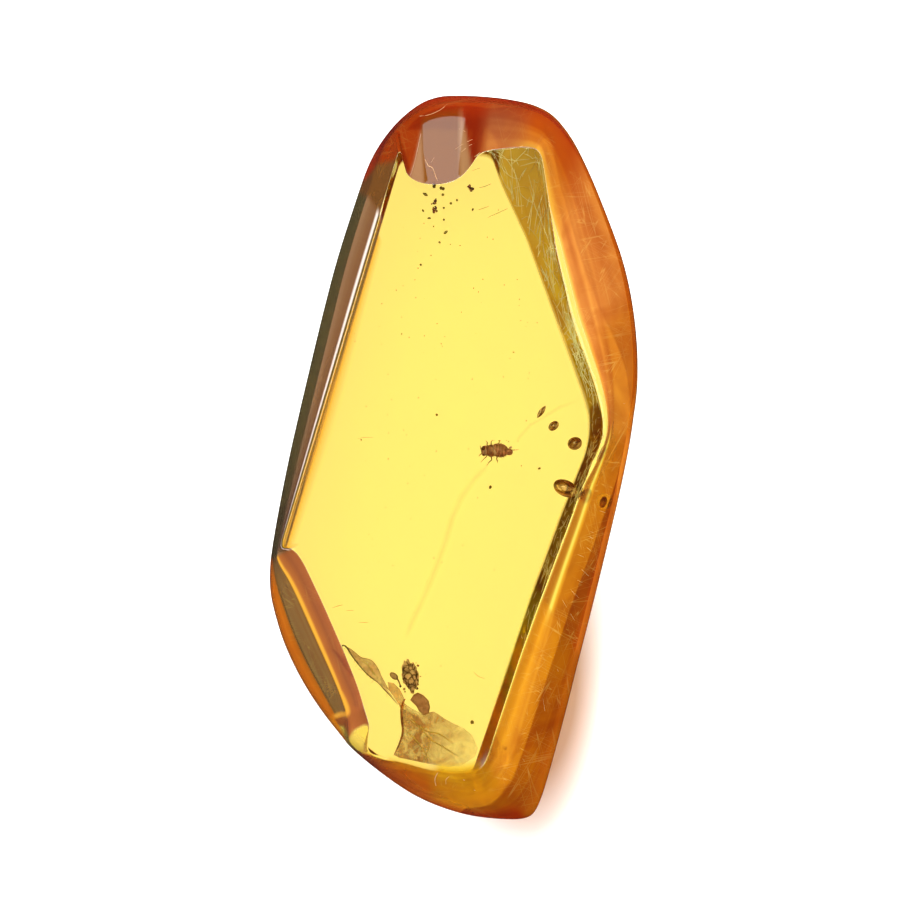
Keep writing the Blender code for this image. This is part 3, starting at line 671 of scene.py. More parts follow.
# the insect, in its own frame: its head towards -X, its back up
fly = {
    "middle": (2.10, 0.38, 5.0), "roll": 28.0, "build": (1.0, 1.18, 1.05),
    "abdomen": ((0.10, 0, 0), (0.46, 0.31, 0.26), -6), "segments": 6, "grooveDepth": 0.07,
    "shell": (0.42, 0.18, 0.12), "rust": (0.75, 0.32, 0.26), "band": (0.85, 0.58, 0.52), "eye": (0.16, 0.05, 0.03),
    "face": (0.6, 0.36, 0.32), "limb": (0.34, 0.15, 0.03), "bristle": (0.16, 0.08, 0.02),
    "bristles": 46, "bristleLength": 0.1,
}
flyLegs = {
    "near_front": [(-0.46, -0.12, -0.10), (-0.52, -0.34, -0.10), (-0.62, -0.46, -0.16), (-0.81, -0.66, -0.18)],
    "near_middle": [(-0.33, -0.14, -0.12), (-0.27, -0.50, -0.10), (-0.42, -0.68, -0.18), (-0.52, -0.84, -0.20)],
    "near_hind": [(0.06, -0.16, -0.12), (-0.03, -0.48, -0.12), (0.02, -0.62, -0.20), (0.00, -0.72, -0.24)],
    "far_front": [(-0.44, 0.10, -0.10), (-0.50, 0.16, -0.20), (-0.48, 0.20, -0.34), (-0.56, 0.22, -0.44)],
    "far_middle": [(-0.28, 0.10, -0.12), (-0.30, 0.20, -0.20), (-0.30, 0.24, -0.32), (-0.22, 0.26, -0.44)],
    "far_hind": [(-0.04, 0.10, -0.12), (0.06, 0.20, -0.20), (0.10, 0.22, -0.32), (0.16, 0.24, -0.44)],
}
flyFeelers = [[(-0.72, -0.08, 0.08), (-0.82, -0.12, 0.14), (-0.90, -0.20, 0.14)],
              [(-0.72, 0.08, 0.08), (-0.80, 0.18, 0.14), (-0.84, 0.30, 0.16)]]


def blended(first, second, share):
    share = min(max(share, 0.0), 1.0)
    return tuple(a + (b - a) * share for a, b in zip(first, second))


def legRun(points):  # thigh, shin, and a foot of small joints that ends in a claw
    coxa, knee, ankle, tip = [Vector(point) for point in points]
    run = smoothRun([coxa, coxa.lerp(knee, 0.45), knee, knee.lerp(ankle, 0.5), ankle],
                    [0.026, 0.038, 0.022, 0.019, 0.02], 4)
    joints = 5
    for joint in range(joints):
        for share, radius in ((0.15, 0.011), (0.5, 0.016), (0.85, 0.014)):
            place = ankle.lerp(tip, (joint + share) / joints)
            place.z += 0.012 * math.sin(math.pi * (joint + share) / joints)
            run.append((*place, radius * (1 - 0.08 * joint)))
    hook = tip + Vector((0, 0, -0.02))
    run.append((*hook, 0.004))
    return run


def flyParts():
    rng = random.Random(11)
    middle, radii, turn = fly["abdomen"]
    belly = ball(middle, radii, turn, around=32, along=60)
    axis = Vector((math.cos(math.radians(turn)), math.sin(math.radians(turn)), 0))

    def alongBelly(place):
        return (place - Vector(middle)).dot(axis) / radii[0]

    def groove(share):
        return abs(math.cos(math.pi * fly["segments"] * (share + 1) / 2)) ** 10

    for vertex in belly.verts:
        share = alongBelly(vertex.co)
        spine = Vector(middle) + axis * share * radii[0]
        vertex.co = spine + (vertex.co - spine) * (1 - fly["grooveDepth"] * groove(share))

    # rust along the middle of the back going to the darker shell colour at the sides, which is painted shade; the
    # grooves between segments are darker as dark joints
    def bellyToneShadedSides(place):
        share = alongBelly(place)
        side = abs(place.y - middle[1] + 0.1 * share) / radii[1]
        tone = blended(fly["rust"], fly["shell"], side * 2.2 - 0.7)
        return blended(tone, fly["bristle"], groove(share) * 0.7)

    # the face colour in the middle going to the darker shell colour at the head's rim, which is painted shade
    def headToneShadedRim(place):
        out = (Vector((place.x + 0.6, place.y, 0))).length / 0.2
        return blended(fly["face"], fly["shell"], out * 2.5 - 1.2)

    def chestTone(place):
        return blended(fly["shell"], fly["band"], (place.x + 0.2 + 0.25 * place.y) * 9)

    parts = [
        (belly, bellyToneShadedSides),
        (ball((-0.60, 0, 0.02), (0.20, 0.22, 0.19)), headToneShadedRim),
        (ball((-0.30, 0.01, 0.05), (0.26, 0.27, 0.25), -12), chestTone),
        (ball((-0.12, 0.0, 0.16), (0.11, 0.13, 0.1), -8), fly["band"]),
        (ball((0.58, -0.09, -0.03), (0.19, 0.15, 0.13), -8), lambda place: blended(fly["rust"], fly["shell"], 0.6)),
        (ball((0.66, 0.15, 0.03), (0.08, 0.05, 0.02), 10), fly["band"]),
    ]
    for side in (-1, 1):
        eye = bmesh.new()
        spot = Matrix.Translation((-0.66, side * 0.13, 0.06)) @ Matrix.Diagonal((0.1, 0.09, 0.13, 1))
        bmesh.ops.create_icosphere(eye, subdivisions=4, radius=1.0, matrix=spot)
        parts.append((eye, fly["eye"]))
    parts.append((strands([smoothRun([(-0.76, 0, -0.06), (-0.80, 0, -0.13), (-0.79, 0, -0.19)], [0.05, 0.035, 0.02])],
                          2), fly["limb"]))
    parts.append((strands([legRun(points) for points in flyLegs.values()], 3), fly["limb"]))
    feelers = []
    for points in flyFeelers:
        run = smoothRun(points, [0.026, 0.020, 0.016], 8)
        feelers.append([(x, y, z, radius * (1.15 - 0.45 * (number % 2))) for number, (x, y, z, radius) in enumerate(run)])
    parts.append((strands(feelers, 3), fly["limb"]))
    hairs = [smoothRun([(0.68, 0.02, 0.02), (0.88, 0.04, 0.04), (1.06, 0.05, 0.04)], [0.024, 0.015, 0.006])]
    for _ in range(fly["bristles"]):
        x = rng.uniform(-0.5, 0.55)
        around = rng.uniform(-1.3, 1.3)
        reach = 0.26 * math.sqrt(max(0.1, 1 - ((x + 0.3) / 0.26) ** 2)) if x < -0.1 else \
            0.29 * math.sqrt(max(0.05, 1 - ((x - 0.1) / 0.46) ** 2))
        out = Vector((0, math.sin(around), math.cos(around)))
        root = Vector((x, 0, 0.02)) + out * reach * 0.9
        tip = root + (out + Vector((0.9, 0, 0))) * fly["bristleLength"] * rng.uniform(0.6, 1.1)
        hairs.append([(*root, 0.007), (*root.lerp(tip, 0.5), 0.005), (*tip, 0.002)])
    for points in flyLegs.values():
        knee, ankle = Vector(points[1]), Vector(points[2])
        for number in range(6):
            root = knee.lerp(ankle, (number + 0.5) / 6)
            out = Vector((rng.uniform(-1, 1), rng.uniform(-0.6, 0.6), rng.uniform(-0.2, 1))).normalized()
            hairs.append([(*root, 0.006), (*(root + out * 0.07), 0.002)])
    parts.append((strands(hairs, 0), fly["bristle"]))
    return parts


flyPlace = Matrix.Translation(fly["middle"]) @ Matrix.Diagonal((*fly["build"], 1))
flyPlace = flyPlace @ Matrix.Rotation(math.radians(fly["roll"]), 4, "X")
insect = joinParts("small_fly", flyParts(), tonedMaterial("cuticle", 0.32, 9000.0, 0.45), flyPlace)
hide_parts("insect")
print("small_fly", len(insect.data.polygons), "faces")


# plant crumbs
crumbLook = {"middle": (-2.15, -10.75, 5.05), "radii": (0.42, 0.86, 0.34), "turn": 12.0, "swell": 0.3, "pit": 0.35}


def crumbParts():
    rng = random.Random(5)
    shape = bmesh.new()
    bmesh.ops.create_icosphere(shape, subdivisions=6, radius=1.0)
    walls = {}
    for vertex in shape.verts:
        spot = vertex.co.copy()
        near = noise.voronoi(Vector((spot.x * 1.5, spot.y * 2.8, spot.z * 1.5)))[0]
        wall = min((near[1] - near[0]) * 2.5, 1.0)
        swell = crumbLook["swell"] * noise.fractal(spot * 1.7 + Vector((3, 1, 7)), 1.0, 2.0, 5)
        vertex.co *= 0.92 + swell - crumbLook["pit"] * (1 - wall) * 0.35
        walls[vertex.index] = wall
    tones = iter([walls[vertex.index] for vertex in shape.verts])
    turn = Matrix.Rotation(math.radians(crumbLook["turn"]), 4, "Z") @ Matrix.Diagonal((*crumbLook["radii"], 1))
    bmesh.ops.transform(shape, matrix=Matrix.Translation(crumbLook["middle"]) @ turn, verts=shape.verts)
    parts = [(shape, lambda place: blended((0.05, 0.02, 0.004), (0.9, 0.6, 0.38), next(tones) * 1.3))]
    for _ in range(12):
        around = rng.uniform(0, fullTurn)
        reach = rng.uniform(0.7, 1.15)
        x = crumbLook["middle"][0] + 0.44 * reach * math.cos(around)
        y = crumbLook["middle"][1] + 0.84 * reach * math.sin(around)
        parts.append((grit((x, y, 5.05 + rng.uniform(-0.2, 0.25)), rng.uniform(0.02, 0.07), rng),
                      rng.choice([(0.7, 0.45, 0.2), (0.1, 0.04, 0.01), (0.35, 0.18, 0.05)])))
    return parts


def grit(middle, radius, rng, stretch=1.0):  # one rough grain
    shape = bmesh.new()
    bmesh.ops.create_icosphere(shape, subdivisions=2, radius=1.0)
    seed = Vector((rng.uniform(0, 99), rng.uniform(0, 99), rng.uniform(0, 99)))
    for vertex in shape.verts:
        vertex.co *= 1 + 0.45 * noise.noise(vertex.co * 1.7 + seed)
    place = Matrix.Translation(middle) @ Matrix.Rotation(rng.uniform(0, fullTurn), 4, "Z")
    scale = Matrix.Diagonal((radius * stretch, radius, radius * 0.8, 1))
    bmesh.ops.transform(shape, matrix=place @ scale, verts=shape.verts)
    return shape


crumb = joinParts("bark_lump", crumbParts(), tonedMaterial("bark", 0.6, 7000.0, 0.4), smoothAngle=70)
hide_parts("bark_crumb")

flakeLook = {
    "outline": [(-2.18, -11.9), (-2.0, -11.62), (-1.8, -11.53), (-1.53, -11.66), (-1.27, -11.93), (-1.2, -12.25),
                (-1.27, -12.58), (-1.53, -12.64), (-1.74, -12.46), (-1.88, -12.2)],
    "level": 4.95, "thick": 0.1, "tilt": 8.0, "wave": 0.05, "tone": (0.6, 0.3, 0.2), "rimTone": (0.3, 0.14, 0.06),
    "rimWidth": 0.09,
}


def reachFrom(place, line):  # how far a place is from a line of points, seen from above
    here = Vector((place.x, place.y))
    reaches = []
    for start, end in zip(line, line[1:]):
        start, end = Vector(start), Vector(end)
        share = min(max((here - start).dot(end - start) / (end - start).length_squared, 0), 1)
        reaches.append((here - start.lerp(end, share)).length)
    return min(reaches)


def flakeTone(place):
    closed = flakeLook["outline"] + flakeLook["outline"][:1]
    return blended(flakeLook["rimTone"], flakeLook["tone"], reachFrom(place, closed) / flakeLook["rimWidth"])


flakeShape = chip(flakeLook["outline"], flakeLook["level"], flakeLook["thick"], flakeLook["tilt"], flakeLook["wave"])
flake = joinParts("bark_chip", [(flakeShape, flakeTone)], tonedMaterial("chip", 0.5, 5000.0, 0.3))
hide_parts("bark_flake")

filmLook = {
    "outline": [(-5.34, -9.27), (-5.04, -9.44), (-4.59, -9.80), (-4.28, -9.87), (-4.03, -9.99), (-3.83, -10.24),
                (-3.65, -10.60), (-3.49, -11.14), (-3.19, -11.44), (-2.84, -12.0), (-3.14, -11.68), (-3.49, -11.32),
                (-3.76, -11.02), (-4.18, -10.70), (-4.77, -10.06)],
    "spine": [(-5.86, -9.2), (-5.61, -9.2), (-5.34, -9.27), (-5.07, -9.69), (-4.77, -10.09), (-4.48, -10.43),
              (-4.18, -10.73), (-3.76, -11.04), (-3.49, -11.34), (-3.14, -11.72), (-2.79, -12.12)],
    "level": 4.97, "tone": (0.95, 0.6, 0.42, 0.7), "spineTone": (0.1, 0.05, 0.01, 1.0),
    "veinTone": (0.75, 0.65, 0.2, 1.0),
}


def filmParts():
    rng = random.Random(3)
    spine = smoothRun([(*point, filmLook["level"]) for point in filmLook["spine"]],
                      [0.008, 0.02, 0.04, 0.03, 0.028, 0.03, 0.03, 0.028, 0.028, 0.022, 0.01], 4)
    vein = smoothRun([(-4.62, -9.95, 5.02), (-4.4, -10.05, 5.04), (-4.15, -10.28, 5.04), (-3.95, -10.62, 5.02),
                      (-3.72, -10.92, 5.0)], [0.01, 0.018, 0.02, 0.018, 0.01])
    rim = smoothRun([(*point, filmLook["level"] + 0.01) for point in filmLook["outline"][:9]], [0.012] * 9, 3)
    hairs = []
    for number in range(16):
        root = Vector(spine[4 + number * 2][:3])
        out = Vector((rng.uniform(-1.0, 0.2), rng.uniform(-1.0, 0.4), rng.uniform(-0.3, 0.3))).normalized()
        tip = root + out * rng.uniform(0.12, 0.34)
        bend = root.lerp(tip, 0.5) + Vector((0.02, -0.03, 0))
        hairs.append([(*root, 0.007), (*bend, 0.006), (*tip, 0.003)])
    sheet = chip(filmLook["outline"], filmLook["level"], 0.03, -10.0, 0.05, seed=4.0)
    return [
        (sheet, filmLook["tone"]), (strands([spine], 2), filmLook["spineTone"]), (strands([vein]), filmLook["veinTone"]),
        (strands([rim]), (0.3, 0.16, 0.06, 0.9)), (strands(hairs, 0), filmLook["spineTone"]),
    ]


film = joinParts("bark_shred", filmParts(), tonedMaterial("film", 0.45, 6000.0, 0.35, cover=True))
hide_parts("bark_strip")

podLook = {"middle": (-2.98, -10.72, 5.1), "radii": (0.24, 0.14, 0.13), "turn": -38.0, "ribs": 7}


def podParts():
    shape = ball((0, 0, 0), (1, 1, 1), 0, around=42, along=30)
    for vertex in shape.verts:
        around = math.atan2(vertex.co.z, vertex.co.y)
        rib = 1 + 0.07 * math.cos(around * podLook["ribs"]) + 0.08 * noise.noise(vertex.co * 3.0)
        vertex.co.y *= rib
        vertex.co.z *= rib
    place = Matrix.Translation(podLook["middle"]) @ Matrix.Rotation(math.radians(podLook["turn"]), 4, "Z")
    bmesh.ops.transform(shape, matrix=place @ Matrix.Diagonal((*podLook["radii"], 1)), verts=shape.verts)
    inverse = place.inverted()

    def podTone(place):
        here = inverse @ place
        out = math.hypot(here.x / podLook["radii"][0], here.y / podLook["radii"][1])
        return blended((0.6, 0.38, 0.25), (0.16, 0.08, 0.03), out * 2.4 - 1.4)

    stem = smoothRun([(-2.86, -10.80, 5.1), (-2.74, -10.98, 5.1), (-2.66, -11.20, 5.08)], [0.045, 0.035, 0.03])
    rng = random.Random(8)
    return [(shape, podTone), (strands([stem], 2), (0.3, 0.15, 0.06)),
            (grit((-2.66, -11.22, 5.08), 0.06, rng), (0.06, 0.02, 0.01))]


pod = joinParts("seed_case", podParts(), tonedMaterial("podSkin", 0.5, 8000.0, 0.5))
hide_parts("seed_pod")
print("plant crumbs")


# dust: single grains and clumps, each (x, y, level, size, how long it is)
grains = [
    (2.19, 0.85, 5.2, 0.03, 1.2), (1.94, 0.86, 5.2, 0.018, 1.0), (2.56, 0.87, 5.2, 0.02, 1.0),
    (2.66, 0.81, 5.2, 0.028, 1.3),
    (-1.0, 13.31, 7.0, 0.085, 1.1), (-0.66, 13.23, 7.0, 0.08, 1.0), (-0.56, 13.2, 7.0, 0.08, 1.1),
    (-1.43, 12.92, 6.9, 0.07, 1.9), (-0.81, 13.46, 7.0, 0.06, 1.3), (-0.57, 12.91, 6.9, 0.07, 1.0),
    (-0.18, 12.49, 6.8, 0.065, 1.0), (0.12, 12.65, 6.8, 0.055, 1.2), (0.89, 12.19, 6.8, 0.05, 1.5),
    (-1.54, 12.13, 6.8, 0.05, 1.4), (-0.53, 12.26, 6.8, 0.055, 1.0), (-1.24, 11.76, 6.7, 0.05, 1.8),
    (-0.53, 11.69, 6.7, 0.055, 1.0), (-0.43, 11.07, 6.6, 0.06, 2.0), (-0.74, 10.58, 6.5, 0.045, 1.4),
    (-1.03, 11.36, 6.5, 0.035, 1.0), (-1.66, 9.49, 6.0, 0.05, 1.2), (-0.87, 2.13, 5.5, 0.06, 1.0),
    (4.17, -0.51, 5.5, 0.05, 1.4), (1.76, -1.43, 4.5, 0.07, 1.3), (3.41, -13.15, 5.0, 0.05, 1.0),
    (0.87, -12.98, 5.5, 0.1, 1.0), (2.03, -14.09, 5.5, 0.09, 1.2), (6.9, 4.65, 6.4, 0.06, 1.0),
    (2.9, 5.2, 5.0, 0.03, 1.5), (-2.6, 6.1, 5.0, 0.03, 1.3), (0.4, -4.3, 4.0, 0.03, 1.0), (-4.6, 0.9, 4.0, 0.03, 1.6),
]
clumps = [(-0.96, 12.31, 6.9, 0.2, 11), (0.8, 13.25, 6.9, 0.15, 9), (-0.9, 12.62, 6.9, 0.08, 4)]
hazyDust = {"count": 150, "size": (0.012, 0.03), "tone": (0.35, 0.16, 0.03)}


def dustParts():
    rng = random.Random(21)
    parts = []
    for x, y, level, size, stretch in grains:
        parts.append((grit((x, y, level), size, rng, stretch), (0.28, 0.2, 0.01)))
    for x, y, level, size, count in clumps:
        for _ in range(count):
            spot = (x + rng.gauss(0, size * 0.5), y + rng.gauss(0, size * 0.6), level + rng.uniform(-0.1, 0.1))
            parts.append((grit(spot, rng.uniform(0.03, 0.075), rng, 1.3),
                          rng.choice([(0.3, 0.08, 0.02), (0.12, 0.05, 0.01), (0.45, 0.2, 0.06)])))
    for _ in range(hazyDust["count"]):
        spot = (rng.uniform(-5.5, 4.5), rng.uniform(-11.5, 12.5), rng.uniform(1.5, 7.2))
        if -2.1 + (spot[1] - 12) * 0.19 - 2.0 < spot[0] < 5.6 - abs(spot[1] - 2.0) * 0.33:
            parts.append((grit(spot, rng.uniform(*hazyDust["size"]), rng), hazyDust["tone"]))
    return parts


dust = joinParts("dust_specks", dustParts(), tonedMaterial("dust", 0.6, 9000.0, 0.4))
print("dust_specks", len(dust.data.polygons), "faces")


# the flow line, the crackled veil and the small rust-coloured folds: films with a soft cover
veilLook = {
    "outline": [(-2.60, -12.10), (-2.45, -12.14), (-2.1, -12.38), (-1.66, -12.61), (-1.03, -12.53), (-0.87, -12.61),
                (-0.45, -12.9), (-0.09, -13.1), (0.47, -13.35), (0.87, -13.7), (1.16, -14.34), (1.02, -14.74),
                (0.37, -15.18), (-0.37, -15.28), (-1.41, -15.08), (-2.74, -14.80), (-2.95, -14.69), (-2.66, -13.94),
                (-2.55, -13.45), (-2.60, -12.99), (-2.62, -12.4)],
    "level": 2.4, "bendScale": 1500.0, "bend": (0.0005, 0.0005, 0.0), "crackScale": 1600.0,
    "patch": (0.55, 0.2, 0.09, 1), "crack": (0.95, 0.6, 0.12, 1),
}
foldOutline = [(-3.29, -11.03), (-2.99, -11.08), (-2.7, -11.37), (-2.5, -11.77), (-2.45, -12.16), (-2.6, -12.5),
               (-2.74, -12.16), (-2.99, -11.77), (-3.24, -11.42)]
flowPath = [(1.76, -0.25), (1.01, -0.99), (0.37, -1.88), (-0.12, -2.97), (-0.42, -4.05), (-0.87, -5.29),
            (-1.51, -6.87), (-2.1, -8.11), (-2.45, -9.0)]
upperFlow = [(2.75, 0.5), (3.73, 1.63), (5.22, 2.52), (6.45, 2.97)]


def veilMaterial():
    made, tree, shader = newMaterial("veil")
    shader.inputs["Roughness"].default_value = 0.5
    place = tree.nodes.new("ShaderNodeTexCoord").outputs["Object"]
    tone = readAttribute(tree, "tone")
    bend = tree.nodes.new("ShaderNodeTexNoise")
    bend.inputs["Scale"].default_value = veilLook["bendScale"]
    tree.links.new(place, bend.inputs["Vector"])
    push = tree.nodes.new("ShaderNodeVectorMath")
    push.operation = "MULTIPLY_ADD"
    push.inputs[1].default_value = veilLook["bend"]
    tree.links.new(bend.outputs["Color"], push.inputs[0])
    tree.links.new(place, push.inputs[2])
    cells = tree.nodes.new("ShaderNodeTexVoronoi")
    cells.feature = "DISTANCE_TO_EDGE"
    cells.inputs["Scale"].default_value = veilLook["crackScale"]
    tree.links.new(push.outputs[0], cells.inputs["Vector"])
    crack = mapped(tree, cells.outputs["Distance"], 0.0, 0.07, 0.6, 0.0)
    patches = mapped(tree, noiseField(tree, place, veilLook["bendScale"], detail=5.0, distortion=0.8), 0.15, 0.62)
    ground = mixColour(tree, 0.85, tone.outputs["Color"], veilLook["patch"])
    colour = mixColour(tree, crack, ground, veilLook["crack"])
    tree.links.new(colour, shader.inputs["Base Color"])
    cover = joinMath(tree, "MULTIPLY", joinMath(tree, "MAXIMUM", patches, crack), tone.outputs["Alpha"])
    tree.links.new(cover, shader.inputs["Alpha"])
    bumped(tree, shader, cells.outputs["Distance"], 0.6, 0.05 * mm)
    return made


def veilTone(place):  # thickest along the left, thin towards the upper right and the low edge
    left = min(max((1.4 - place.x) / 4.0, 0.15), 1.0)
    low = min(max((place.y + 15.3) / 0.2, 0.3), 1.0)
    return 0.85, 0.4, 0.18, min(0.85 * left + 0.05, 0.68) * low


def soften(path, width, strength, tone, fadeLength=0.8):  # a ribbon's cover, full along its middle
    line = [Vector(point) for point in path]

    def toneAt(place):
        here = Vector((place.x, place.y))
        ends = min((here - line[0]).length, (here - line[-1]).length, fadeLength) / fadeLength
        return (*tone, strength * max(0.0, 1 - 2 * reachFrom(place, line) / width) * ends)

    return toneAt


veilShape = chip(veilLook["outline"], veilLook["level"], 0.02, 0.0, 0.12, cuts=4, seed=2.0)
veins = [  # golden lines that branch across the veil
    [(-2.45, -13.46), (-1.9, -13.93), (-1.44, -14.57), (-1.07, -15.03)],
    [(-1.72, -13.18), (-1.26, -13.83), (-0.52, -14.29), (0.22, -14.75)],
    [(-1.26, -13.83), (-1.29, -14.33), (-1.53, -15.03)],
    [(-2.18, -12.91), (-1.44, -13.46), (-0.7, -13.65), (-0.05, -14.11)],
]
veinRuns = [smoothRun([(x, y, 2.68) for x, y in line], [0.015, *[0.035] * (len(line) - 2), 0.01]) for line in veins]
veilEdge = smoothRun([(-2.45, -11.9, 3.0), (-2.62, -12.3, 2.5), (-2.6, -12.99, 2.4), (-2.55, -13.45, 2.4),
                      (-2.66, -13.94, 2.4), (-2.99, -14.69, 2.4)], [0.03, 0.06, 0.065, 0.06, 0.05, 0.02])
veil = joinParts("crackled_veil", [(veilShape, veilTone)], veilMaterial())

folds = joinParts("rusty_folds", [
    (chip(foldOutline, 4.2, 0.03, 20.0, 0.15, seed=6.0), (1.0, 0.45, 0.1, 0.5)),
    (strands([veilEdge], 2), (0.45, 0.12, 0.02, 0.9)),
    (strands(veinRuns, 1), (1.0, 0.9, 0.6, 0.85)),
    (ribbon(flowPath, 0.45, 3.6), soften(flowPath, 0.45, 0.09, (1.0, 0.75, 0.02))),
    (ribbon(upperFlow, 0.3, 3.6), soften(upperFlow, 0.3, 0.06, (0.9, 0.6, 0.02))),
], tonedMaterial("resinFilm", 0.4, 3000.0, 0.15, cover=True))
print("veil and folds")


# fine scratches: thin bright strands just under the skin, long bent ones and short dull ones, and one bright strand
# painted as the highlight along the scoop's left edge
scratchRun = {
    "sink": 0.02, "highest": 7.94, "middle": 3.8,  # mm under the skin, the top limit, the level they shrink to
    "underFrom": 10, "underShare": 1.1, "underLevel": 7.95,  # places from 10 up lie over the undercut
    "degreesPerRadian": 57.3, "step": 0.25, "bend": 0.22, "rise": 0.45, "shortness": 2.5,
}


def skinPoint(degrees, height, sink):
    if height >= scratchRun["underFrom"]:  # over the undercut, by its share of the way from the base's edge to the table's
        low, high = skinPoint(degrees, 1.0, 0), skinPoint(degrees, 5.0, 0)
        place = low.lerp(high, (height - scratchRun["underFrom"]) * scratchRun["underShare"])
        return Vector((place.x, place.y, scratchRun["underLevel"]))
    ring = float(np.interp(height, ringHeights, np.arange(len(ringHeights))))
    station = (degrees % 360) / 360 * len(stations)
    low, left = int(ring), int(station)
    high, right = min(low + 1, len(ringHeights) - 1), (left + 1) % len(stations)
    up, along = ring - low, station - left
    place = 0
    for level, share in ((low, 1 - up), (high, up)):
        for side, part in ((left % len(stations), 1 - along), (right, along)):
            place = place + slabRings[level][1][side] * share * part
    angle = math.radians(degrees)
    radius = place[0] - sink
    level = scratchRun["middle"] + (place[1] - scratchRun["middle"]) * (1 - sink / 3)
    return Vector((radius * math.cos(angle), radius * math.sin(angle), level))


def skinLevel(x, y):  # the height of the upper skin above a place
    station = round(math.atan2(y, x) % fullTurn / fullTurn * len(stations)) % len(stations)
    column = np.array([place[station] for _, place in slabRings])
    column = column[np.argmax(column[:, 0]):][::-1]
    return float(np.interp(math.hypot(x, y), column[:, 0], column[:, 1]))


ringHeights = [height for height, _ in slabRings]
scratchZones = [  # degrees, places up the profile, how many, length in mm, radius in mm, tone
    ((22, 80), (1.2, 2.3), 110, (0.8, 4.0), 0.014, (1.0, 0.8, 0.3, 0.9)),
    ((24, 84), (10, 10.95), 240, (0.3, 3.0), 0.014, (1.0, 0.95, 0.38, 1.0)),
    ((-70, 20), (10, 10.95), 150, (0.3, 1.2), 0.012, (1.0, 0.8, 0.2, 0.9)),
    ((-98, -76), (3.7, 4.9), 50, (0.3, 1.6), 0.011, (1.0, 0.75, 0.2, 0.7)),
    ((-30, 62), (3.3, 4.85), 60, (0.4, 2.5), 0.009, (1.0, 0.75, 0.35, 0.6)),
    ((-76, -30), (3.6, 4.85), 60, (0.4, 2.6), 0.009, (1.0, 0.75, 0.3, 0.6)),
    ((66, 104), (3.2, 4.85), 50, (0.3, 1.6), 0.01, (0.95, 0.5, 0.2, 0.7)),
    ((212, 243), (3.45, 3.9), 16, (0.4, 1.4), 0.008, (0.8, 0.5, 0.2, 0.5)),
    ((112, 200), (3.2, 4.8), 24, (0.3, 1.2), 0.007, (0.7, 0.5, 0.35, 0.5)),
]
singleScratches = {
    # chosen one by one: points and radius
    "bright": [
        [(-1.45, 14.64, 0.012), (-1.36, 14.46, 0.02), (-1.27, 14.3, 0.03), (-1.12, 14.24, 0.016), (-1.03, 14.1, 0.014),
         (-0.93, 13.8, 0.014), (-0.81, 13.56, 0.01)],
        [(-1.16, 14.46, 0.006), (-1.0, 14.72, 0.004)],
        [(0.02, 15.13, 0.006), (0.47, 15.43, 0.012), (0.91, 15.63, 0.006)],
        [(0.32, 14.98, 0.005), (0.67, 15.28, 0.01), (0.96, 15.43, 0.005)],
        [(0.22, 16.17, 0.006), (0.52, 16.02, 0.006)],
        [(-1.95, 16.81, 0.006), (-1.31, 16.86, 0.012), (-0.72, 17.11, 0.01), (-0.37, 17.41, 0.005)],
        [(-0.91, -16.1, 0.01), (-0.96, -15.77, 0.022), (-0.82, -15.4, 0.026), (-0.5, -15.2, 0.016)],
        [(-0.27, -15.6, 0.012), (-0.42, -15.75, 0.016), (-0.42, -16.0, 0.01)],
        [(0.42, -15.75, 0.02), (0.5, -15.78, 0.024)], [(0.95, -16.3, 0.014), (1.02, -16.33, 0.018)],
    ],
    "dull": [
        [(1.2, 13.22, 0.008), (1.5, 13.3, 0.016), (1.8, 13.42, 0.008)],
        [(1.17, 12.15, 0.01), (1.4, 12.22, 0.014), (1.68, 12.32, 0.006)],
        [(1.62, 11.77, 0.008), (2.1, 11.98, 0.016), (2.59, 12.21, 0.008)],
        [(0.86, 14.06, 0.006), (1.24, 14.19, 0.008)],
        [(0.96, -10.48, 0.008), (1.16, -10.68, 0.01), (1.46, -10.78, 0.006)],
        [(-5.98, -7.32, 0.006), (-5.65, -7.22, 0.012), (-5.45, -7.18, 0.005)],
        [(-5.3, -7.45, 0.006), (-4.95, -7.45, 0.008)],
        [(-4.7, -8.02, 0.005), (-4.4, -8.05, 0.009), (-4.2, -8.02, 0.005)],
        [(-4.75, 0.95, 0.004), (-4.35, 1.02, 0.007), (-4.0, 1.0, 0.004)],
    ],
}


